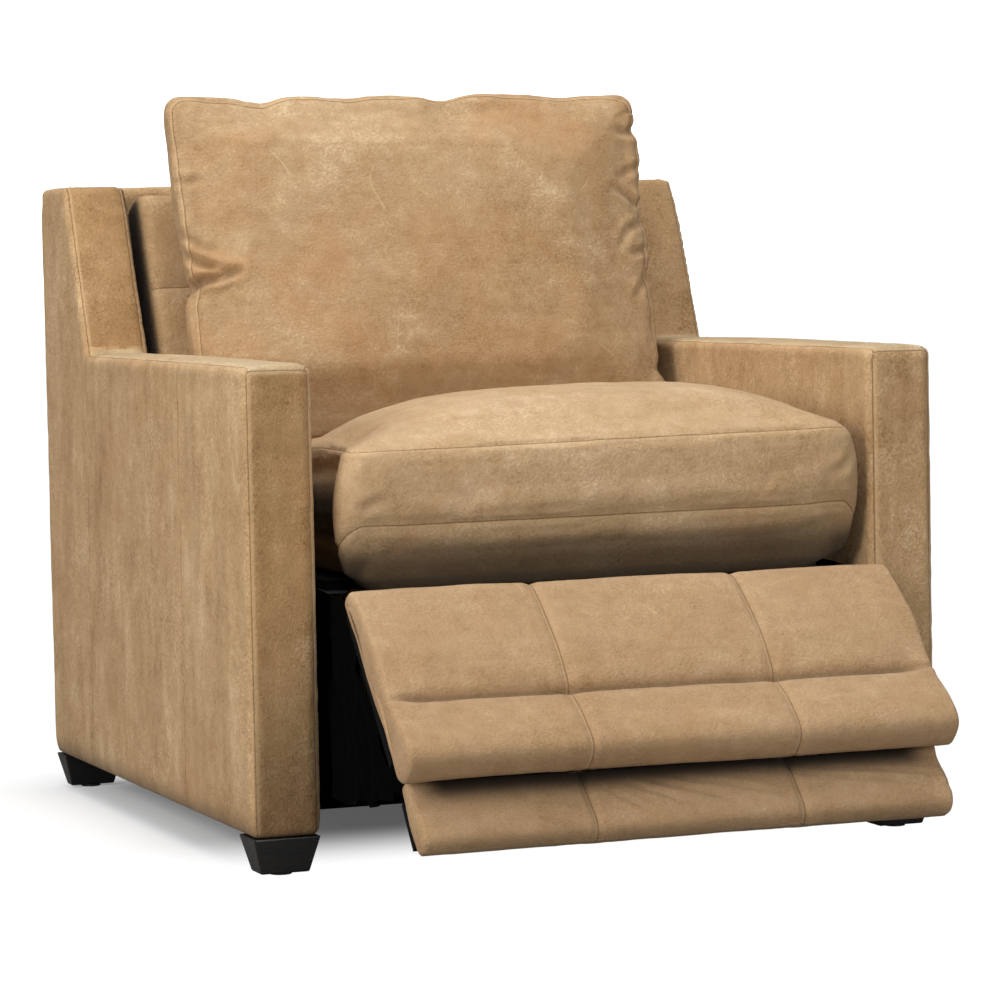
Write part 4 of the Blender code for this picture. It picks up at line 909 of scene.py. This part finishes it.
pillow_rings = []
for share in (0.12, 0.4, 0.7, 0.9):
    plan = rounded_plan(0.325, 0.012, PILLOW_TALL - 0.02, 0.06) * share
    plan = plan + (0, 0.5 * PILLOW_TALL * (1 - share))
    rear = -(0.045 + 0.10 * np.clip(plan[:, 1], 0, 0.33)) * (1 - 0.25 * share ** 3)
    pillow_rings.append(pillow_place(*plan.T, rear))
for half, inset, out in SIDE_RINGS:
    pillow_rings.append(pillow_place(*pillow_outline(half, inset).T, out))
for share in (0.965, 0.90, 0.78, 0.62, 0.44, 0.26, 0.10):
    plan = pillow_outline(*FACE_RING[:2]) * share + (0, 0.44 * PILLOW_TALL * (1 - share))
    pillow_rings.append(pillow_place(*plan.T, FACE_RING[2] + 0.032 * (1 - share ** 2.4)))
print("pillow rings", len(pillow_rings))

# %% Back pillow: cloth
pillow = remesh(rings_object("back_pillow_cover", pillow_rings), PILLOW_VOXEL, 2)
pillow_seams = []
for half, inset, out in (FACE_RING, REAR_SEAM):
    pillow_seams.append(pillow_place(*closed_up(pillow_outline(half, inset)).T, out))
away = seam_field(pillow, pillow_seams)[0]
points = points_of(pillow)
face = smooth(0.02, 0.08 + 0.10 * smooth(0.10, 0.30, points[:, 0]), away)
foot_free = smooth(0.56, 0.62, points[:, 2])
in_front = smooth(0.0, -0.03, depth_of(points) - 0.72)
inflate(pillow, (0.003 + 0.016 * face) * foot_free * (0.25 + 0.75 * in_front))
subdivide(pillow)

# %% [markdown]
# The pillow's folds are (depth, line). Dents are a centre, a radius and a push along each axis:
# those of the top are given as (across, depth), and those of the right edge as (across, up, height,
# push across, push back). Folds are measured with distances out of the face drawn together, so
# that they wrap round its edge.

# %% Back pillow: tables
OUT_DRAWN = 0.35
PILLOW_FOLDS = ((8, ((-356, 240, 50), (-340, 222, 70), (-312, 206, 80), (-290, 200, 86))),
                (10, ((-358, 184, 30), (-342, 189, 66), (-314, 192, 78), (-286, 197, 86))),
                (4, ((-350, 262, 58), (-334, 243, 70), (-316, 232, 80))),
                (5, ((352, 298, 20), (340, 294, 60), (320, 306, 77), (300, 316, 84))),
                (3.5, ((352, 270, 50), (336, 262, 70), (314, 250, 80), (298, 225, 84))),
                (3, ((352, 190, 55), (334, 172, 72), (310, 146, 84))),
                (3.5, ((352, 408, 50), (336, 400, 70), (314, 403, 78))),
                (3, ((352, 352, 50), (334, 344, 70), (316, 334, 78))),
                (3.5, ((352, 232, 50), (336, 222, 70), (312, 216, 80))),
                (3, ((-352, 340, 50), (-336, 334, 66), (-316, 338, 75))))
TOP_DENTS = ((-217, 12), (52, 9), (-100, 3), (240, 4))
WIDE_DENTS = (((-354, 186, 30), (30, 60, 14), (13, 4, 0)),
              ((-352, 380, 20), (50, 80, 150), (-8, 0, 0)),
              ((352, 430, 10), (40, 60, 50), (6, 0, 0)))
EDGE_DENTS = ((356, 292, 14, -7, 4), (356, 52, 12, -9, 4), (354, 415, 10, -6, 3),
              (354, 372, 22, 4, 0), (354, 238, 18, 4, 0), (354, 196, 10, -4, 2))
dents = [((x, PILLOW_TALL * 1000, 30), (30, 90, 50), (0, 0, -deep)) for x, deep in TOP_DENTS]
dents += WIDE_DENTS
dents += [((x, up, 30), (25, 60, tall), (push, back, 0)) for x, up, tall, push, back in EDGE_DENTS]
print("pillow folds", len(PILLOW_FOLDS), "and dents", len(dents))

# %% Back pillow: seams, folds and dents
points = points_of(pillow)
away = stored(pillow, "beside")
grid = seam_grid(stored(pillow, "along"), away, 1.2)
lift = -0.0022 * bell(away, 0.005)
puckers = 0.0042 * noise(grid, 0.034, 4.0) + 0.0020 * noise(grid, 0.014, 5.0)
lift += np.exp(-away / 0.020) * puckers
lift += 0.0024 * noise(points, 0.07, 12.0) + 0.0009 * noise(points, 0.022, 13.0)
across = points[:, 0] - PILLOW_SHIFT
behind = depth_of(points) - PILLOW_FOOT[0]
above = points[:, 2] - PILLOW_FOOT[1]
up = behind * math.sin(PILLOW_LEAN) + above * math.cos(PILLOW_LEAN)
out = above * math.sin(PILLOW_LEAN) - behind * math.cos(PILLOW_LEAN)
local = np.stack([across, up, OUT_DRAWN * out], 1)
fold_depth = np.zeros(len(points))
for deep, line in PILLOW_FOLDS:
    fold_depth += fold_lift(local, metres(line) * (1, 1, OUT_DRAWN), 0.0062, deep / 1000)
ruffle = np.where(across > 0, 0.0028, 0.0060) * smooth(0.30, 0.345, np.abs(across))
lift += ruffle * noise(np.stack([up, out * 0.4, across * 0.1], 1), 0.040, 14.0)
points = points + normals_of(pillow) * (lift + fold_depth)[:, None]
for centre, radius, push in metres(dents):
    points = dent(points, pillow_place(*centre), radius, push)
set_points(pillow, points)
# Painted shade in the folds and near the foot, where the pillow meets the seat.
fold_shade = np.clip(-fold_depth / 0.010, 0, 1)
foot_shade = 0.14 * smooth(0.66, 0.56, points[:, 2])
store(pillow, "painted_shade", np.maximum(foot_shade, 0.5 * fold_shade))
upholster(pillow, PILLOW_LEATHER, "back", "back_cushion")

# %% [markdown]
# The footrest panel and its flipper. Their measures are along the face from its top edge and out
# of the face. They are given for the closed footrest, and the opening turns them to the
# photographed place.

# %% Footrest places
REST_OPENING = math.radians(41.8)
SWING_CENTRE = complex(0.024, 0.458)
PANEL_TOP = 0.352
PANEL_TILT = 0.035
PANEL_LENGTH = 0.985
FLIPPER_START = complex(0.270, -0.040)
FLIPPER_TURN = math.radians(-5.0)
REST_SEAMS = (-0.128, 0.147)
END_ROUND = 0.007


def panel_place(x, along, out):
    """CAD-frame points from the footrest panel's own measures, turned to its place at rest."""
    closed = (out + PANEL_TILT * along + 1j * (PANEL_TOP - PANEL_LENGTH * along)) - SWING_CENTRE
    spot = SWING_CENTRE + closed * np.exp(1j * REST_OPENING)
    return place_at(x, -spot.real, spot.imag)


def flipper_place(x, along, out):
    """The same from the flipper's own measures."""
    local = FLIPPER_START + (along + 1j * out) * np.exp(1j * FLIPPER_TURN)
    return panel_place(x, local.real, local.imag)


# %% [markdown]
# Each pad is a side section swept across, with rounded ends and two sewn cross seams.

# %% Footrest sweep


def swept_rows(half):
    """Places across a pad, each with the share of its section that is left at the rounded ends."""
    across = np.linspace(-1, 1, 185) * (half - END_ROUND)
    for seam in REST_SEAMS:
        across[np.argmin(np.abs(across - seam))] = seam
    turn = np.linspace(0, math.pi / 2, 8)[1:]
    rim = [(half - END_ROUND * (1 - math.sin(a)), 1 - 0.5 * (1 - math.cos(a))) for a in turn]
    rim += [(half + 0.0006, 0.34), (half + 0.0008, 0.16), (half + 0.0008, 0.03)]
    return [(-x, keep) for x, keep in reversed(rim)] + [(x, 1.0) for x in across] + rim


def swept_pad(name, section, spine, half, place, crease_at, count, folds, shade=0.0):
    """Sweeps a closed section across X, with rounded ends and pulled-in cross seams."""
    line = curve_through(metres(section), count, closed=True)
    middle = np.stack([np.clip(line[:, 0], spine[0], spine[1]), np.full(count, spine[2])], 1)
    rows = swept_rows(half)
    rings = []
    for x, keep in rows:
        ring = middle + (line - middle) * keep
        pinch = sum(bell(x - seam, 0.006) for seam in REST_SEAMS)
        fall = sum(np.exp(-abs(x - edge) / 0.045) for edge in (*REST_SEAMS, -half, half))
        filled = smooth(0.0, 0.055, half - abs(x))
        shallow = 0.010 * (1 - filled) * bell(ring[:, 0] - crease_at, 0.012)
        sunk = np.where(ring[:, 1] > spine[2], 0.0028 * pinch + 0.003 * fall - shallow, 0)
        rings.append(place(np.full(count, x), ring[:, 0], ring[:, 1] - sunk))
    thing = rings_object(name, rings)
    row_x = np.array([x for x, keep in rows])
    seam_field(thing, [rings[int(np.argmin(np.abs(row_x - seam)))] for seam in REST_SEAMS])
    points = points_of(thing)
    away = np.abs(stored(thing, "seam"))
    grid = seam_grid(stored(thing, "along"), away, 2)
    lift = 0.0009 * np.exp(-away / 0.02) * noise(grid, 0.018, 3.0)
    lift += 0.0012 * noise(points, 0.05, 21.0) + 0.0005 * noise(points, 0.018, 22.0)
    for fold in folds:
        lift += fold_lift(points, place(*metres(fold).T), 0.0042, 0.0017)
    set_points(thing, points + normals_of(thing) * lift[:, None])
    # Painted shade: in a line along the crease, and, by shade, on the face below the top edge,
    # where the roll above casts its shadow.
    face = line[:, 1] > spine[2]
    pad_shade = 0.5 * bell(line[:, 0] - crease_at, 0.0035) * face
    pad_shade = np.maximum(pad_shade, shade * (0.12 + 0.88 * smooth(0.046, 0.010, line[:, 0])) * face)
    reach = smooth(0.0, 0.05, half - np.abs(row_x))
    store(thing, "painted_shade", (reach[:, None] * pad_shade[None, :]).ravel())
    return thing


# %% Footrest pads
PANEL_CREASE = 183.6
PANEL_SECTION = ((0, -30), (-3, -18), (-1, -6), (8, 2), (30, 9), (70, 15), (110, 18), (148, 16),
                 (170, 12), (179, 6), (PANEL_CREASE, 1), (188, 7), (198, 14), (218, 20),
                 (243, 25), (265, 26.5), (280, 21), (287, 6), (288, -18), (280, -29),
                 (266, -32), (200, -32.1), (100, -32.1), (20, -32.1))
PANEL_FOLDS = (((-122, 10, 4), (-90, 18, 8), (-55, 40, 12)),
               ((160, 205, 18), (200, 222, 22), (260, 230, 23)),
               ((-340, 205, 18), (-290, 215, 21), (-250, 235, 23)))
FLIPPER_SECTION = ((0, -22), (-2, -14), (2, -5), (16, 0), (36, 5), (58, 9), (79, 10.5), (92, 5),
                   (97, -8), (95, -21), (88, -27), (40, -27), (10, -23.9))
FLIPPER_FOLDS = [((k - 118, 20, 3), (k * 1.6 - 90, 45, 9), (k * 2.2 - 60, 72, 7))
                 for k in (0, 30, 60, 100, 200, 260)]
rest_pad = swept_pad("footrest_panel_cover", PANEL_SECTION, (0.02, 0.262, -0.014), 0.367,
                     panel_place, metres(PANEL_CREASE), 150, PANEL_FOLDS)
upholster(rest_pad, REST_LEATHER, "footrest", "footrest_pad")
flip_pad = swept_pad("flipper_panel_cover", FLIPPER_SECTION, (0.015, 0.072, -0.010), 0.353,
                     flipper_place, 0.0, 80, FLIPPER_FOLDS, shade=0.96)
upholster(flip_pad, REST_LEATHER, "flipper", "flipper_pad")

# %% [markdown]
# A black curtain hangs beside the links on each side, from under the seat to behind the footrest.
# Its outline is a bilinear patch in depth and height, and its crumples grow towards its foot.

# %% Black curtains
CURTAIN_X = 0.362
TOP_EDGE = ((0.125, 0.356), (-0.040, 0.346))
FOOT_EDGE = ((0.125, 0.080), (-0.200, 0.112))


def curtain_edge(ends, u):
    """A straight edge from its rear end at u = 0 to its front end at u = 1."""
    rear, front = (np.array([0.0, FRONT + depth, height]) for depth, height in ends)
    return rear * (1 - u) + front * u


def curtain(name, side):
    """q = bilinear patch of four corners, pushed sideways by folds that fan out from the top."""
    u, v = np.meshgrid(np.linspace(0, 1, 150), np.linspace(0, 1, 110), indexing="ij")
    forward, down = u[..., None], v[..., None]
    patch = curtain_edge(TOP_EDGE, forward) * (1 - down) + curtain_edge(FOOT_EDGE, forward) * down
    flat = patch.reshape(-1, 3)
    crumple = noise(flat, 0.030, 6.0 + side) + 0.6 * noise(flat, 0.012, 7.0 + side)
    crumple = 0.0035 * crumple.reshape(u.shape) * smooth(0, 0.3, v)
    folds = 0.006 * np.sin(46 * u + 5 * v * np.sin(7 * u)) * smooth(0.0, 0.7, v)
    patch[..., 0] = side * (CURTAIN_X + folds + crumple)
    patch[..., 2] += 0.006 * np.sin(23 * u + side) * smooth(0.6, 1.0, v)
    index = np.arange(u.size).reshape(u.shape)
    quads = np.stack([index[:-1, :-1], index[1:, :-1], index[1:, 1:], index[:-1, 1:]], -1)
    made = mesh_object(name, patch.reshape(-1, 3), quads.reshape(-1, 4).tolist())
    made.data.materials.append(CURTAIN_CLOTH)
    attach(made, "carriage")
    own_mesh(made)


curtain("curtain_left", -1)
curtain("curtain_right", 1)

# %% [markdown]
# The floor is pale and plain. Away from a soft rectangle under the chair it turns to white for
# the camera. The world lights the object softly and shows white to the camera.

# %% Floor and world
FLOOR_CORNERS = 30 * np.array([(-1, -1, 0), (1, -1, 0), (1, 1, 0), (-1, 1, 0)])
SHADE_CENTRE = (-0.06, 0.28, 0.0)
SHADE_HALF = (0.30, 0.25, 0.0)
SHADE_FADE = 0.36
floor = mesh_object("floor", FLOOR_CORNERS, [(0, 1, 2, 3)])
floor_material, tree, shader = new_material("floor_pale_matt", roughness=0.9,
                                            specular_ior_level=0.1)
spot = node(tree, "ShaderNodeTexCoord")["Object"]
seen = node(tree, "ShaderNodeLightPath")["Is Camera Ray"]
pale = ramp(tree, clouds(tree, spot, 3.0)[0], [(0.3, "#f4f4f4"), (0.7, "#f7f7f7")])
tree.links.new(blend_colour(tree, seen, linear("#8c8a88"), pale), shader.inputs["Base Color"])
offset = vectors(tree, "ABSOLUTE", vectors(tree, "SUBTRACT", spot, SHADE_CENTRE))
offset = vectors(tree, "MAXIMUM", vectors(tree, "SUBTRACT", offset, SHADE_HALF), (0.0, 0.0, 0.0))
far = node(tree, "ShaderNodeVectorMath", {0: offset}, operation="LENGTH")["Value"]
far = remap(tree, far, 0.0, SHADE_FADE, 0.09, 1.0, interpolation_type="SMOOTHSTEP")
far = maths(tree, "MULTIPLY", far, seen)
white = node(tree, "ShaderNodeEmission", {"Strength": 1.05})[0]
both = node(tree, "ShaderNodeMixShader", {0: far, 1: shader.outputs[0], 2: white})[0]
tree.links.new(both, tree.nodes["Material Output"].inputs["Surface"])
floor.data.materials.append(floor_material)

world = bpy.data.worlds.new("studio")
bpy.context.scene.world = world
world.use_nodes = True
tree = world.node_tree
background = tree.nodes["Background"]
seen = node(tree, "ShaderNodeLightPath")["Is Camera Ray"]
tree.links.new(remap(tree, seen, 0.0, 1.0, 0.26, 1.6), background.inputs["Strength"])
background.inputs["Color"].default_value = (1, 1, 1, 1)
print("floor and world")

# %% [markdown]
# Three square lights: above, from the left and from the front.

# %% Lights


def softbox(name, place, target, size, power):
    """A square area light aimed at a point."""
    lamp = bpy.data.lights.new(name, "AREA")
    lamp.size = size
    lamp.energy = power
    made = add_object(name, lamp)
    made.location = place
    aim = Vector(target) - Vector(place)
    made.rotation_euler = aim.to_track_quat("-Z", "Y").to_euler()


softbox("top_box", (-0.3, -0.3, 3.6), (0, 0.1, 0.4), 3.0, 110)
softbox("left_box", (-4.2, -1.8, 1.9), (0, 0, 0.5), 2.2, 150)
softbox("front_box", (0.6, -5.5, 1.7), (0, 0, 0.5), 2.4, 98)
print("lights", len(bpy.data.lights))

# %% [markdown]
# The camera was solved from the photograph: three angles, a distance from a point in the plane of
# the arms' front, and a focal length in pixels of a picture 1000 pixels wide.

# %% Camera
YAW, PITCH, ROLL = (math.radians(v) for v in (20.8378, -3.6838, -1.1441))
AIM = Vector((-0.1365, FRONT, 0.4584))
DISTANCE = 4.9583
FOCAL_PIXELS = 3923.5473
PICTURE_PIXELS = 1000
SENSOR = 36.0
forward = Vector((math.sin(YAW) * math.cos(PITCH), math.cos(YAW) * math.cos(PITCH),
                  math.sin(PITCH)))
right = Vector((math.cos(YAW), -math.sin(YAW), 0.0))
upright = right.cross(forward)
across_view = math.cos(ROLL) * right + math.sin(ROLL) * upright
up_view = -math.sin(ROLL) * right + math.cos(ROLL) * upright
camera_data = bpy.data.cameras.new("camera")
camera_data.sensor_width = SENSOR
camera_data.lens = FOCAL_PIXELS / PICTURE_PIXELS * SENSOR
camera_data.clip_end = 100.0
camera = add_object("camera", camera_data)
turn = Matrix((across_view, up_view, -forward)).transposed().to_4x4()
camera.matrix_world = Matrix.Translation(AIM - forward * DISTANCE) @ turn
bpy.context.scene.camera = camera
bpy.context.scene.view_settings.view_transform = "Standard"
print("camera lens", round(camera_data.lens, 2))
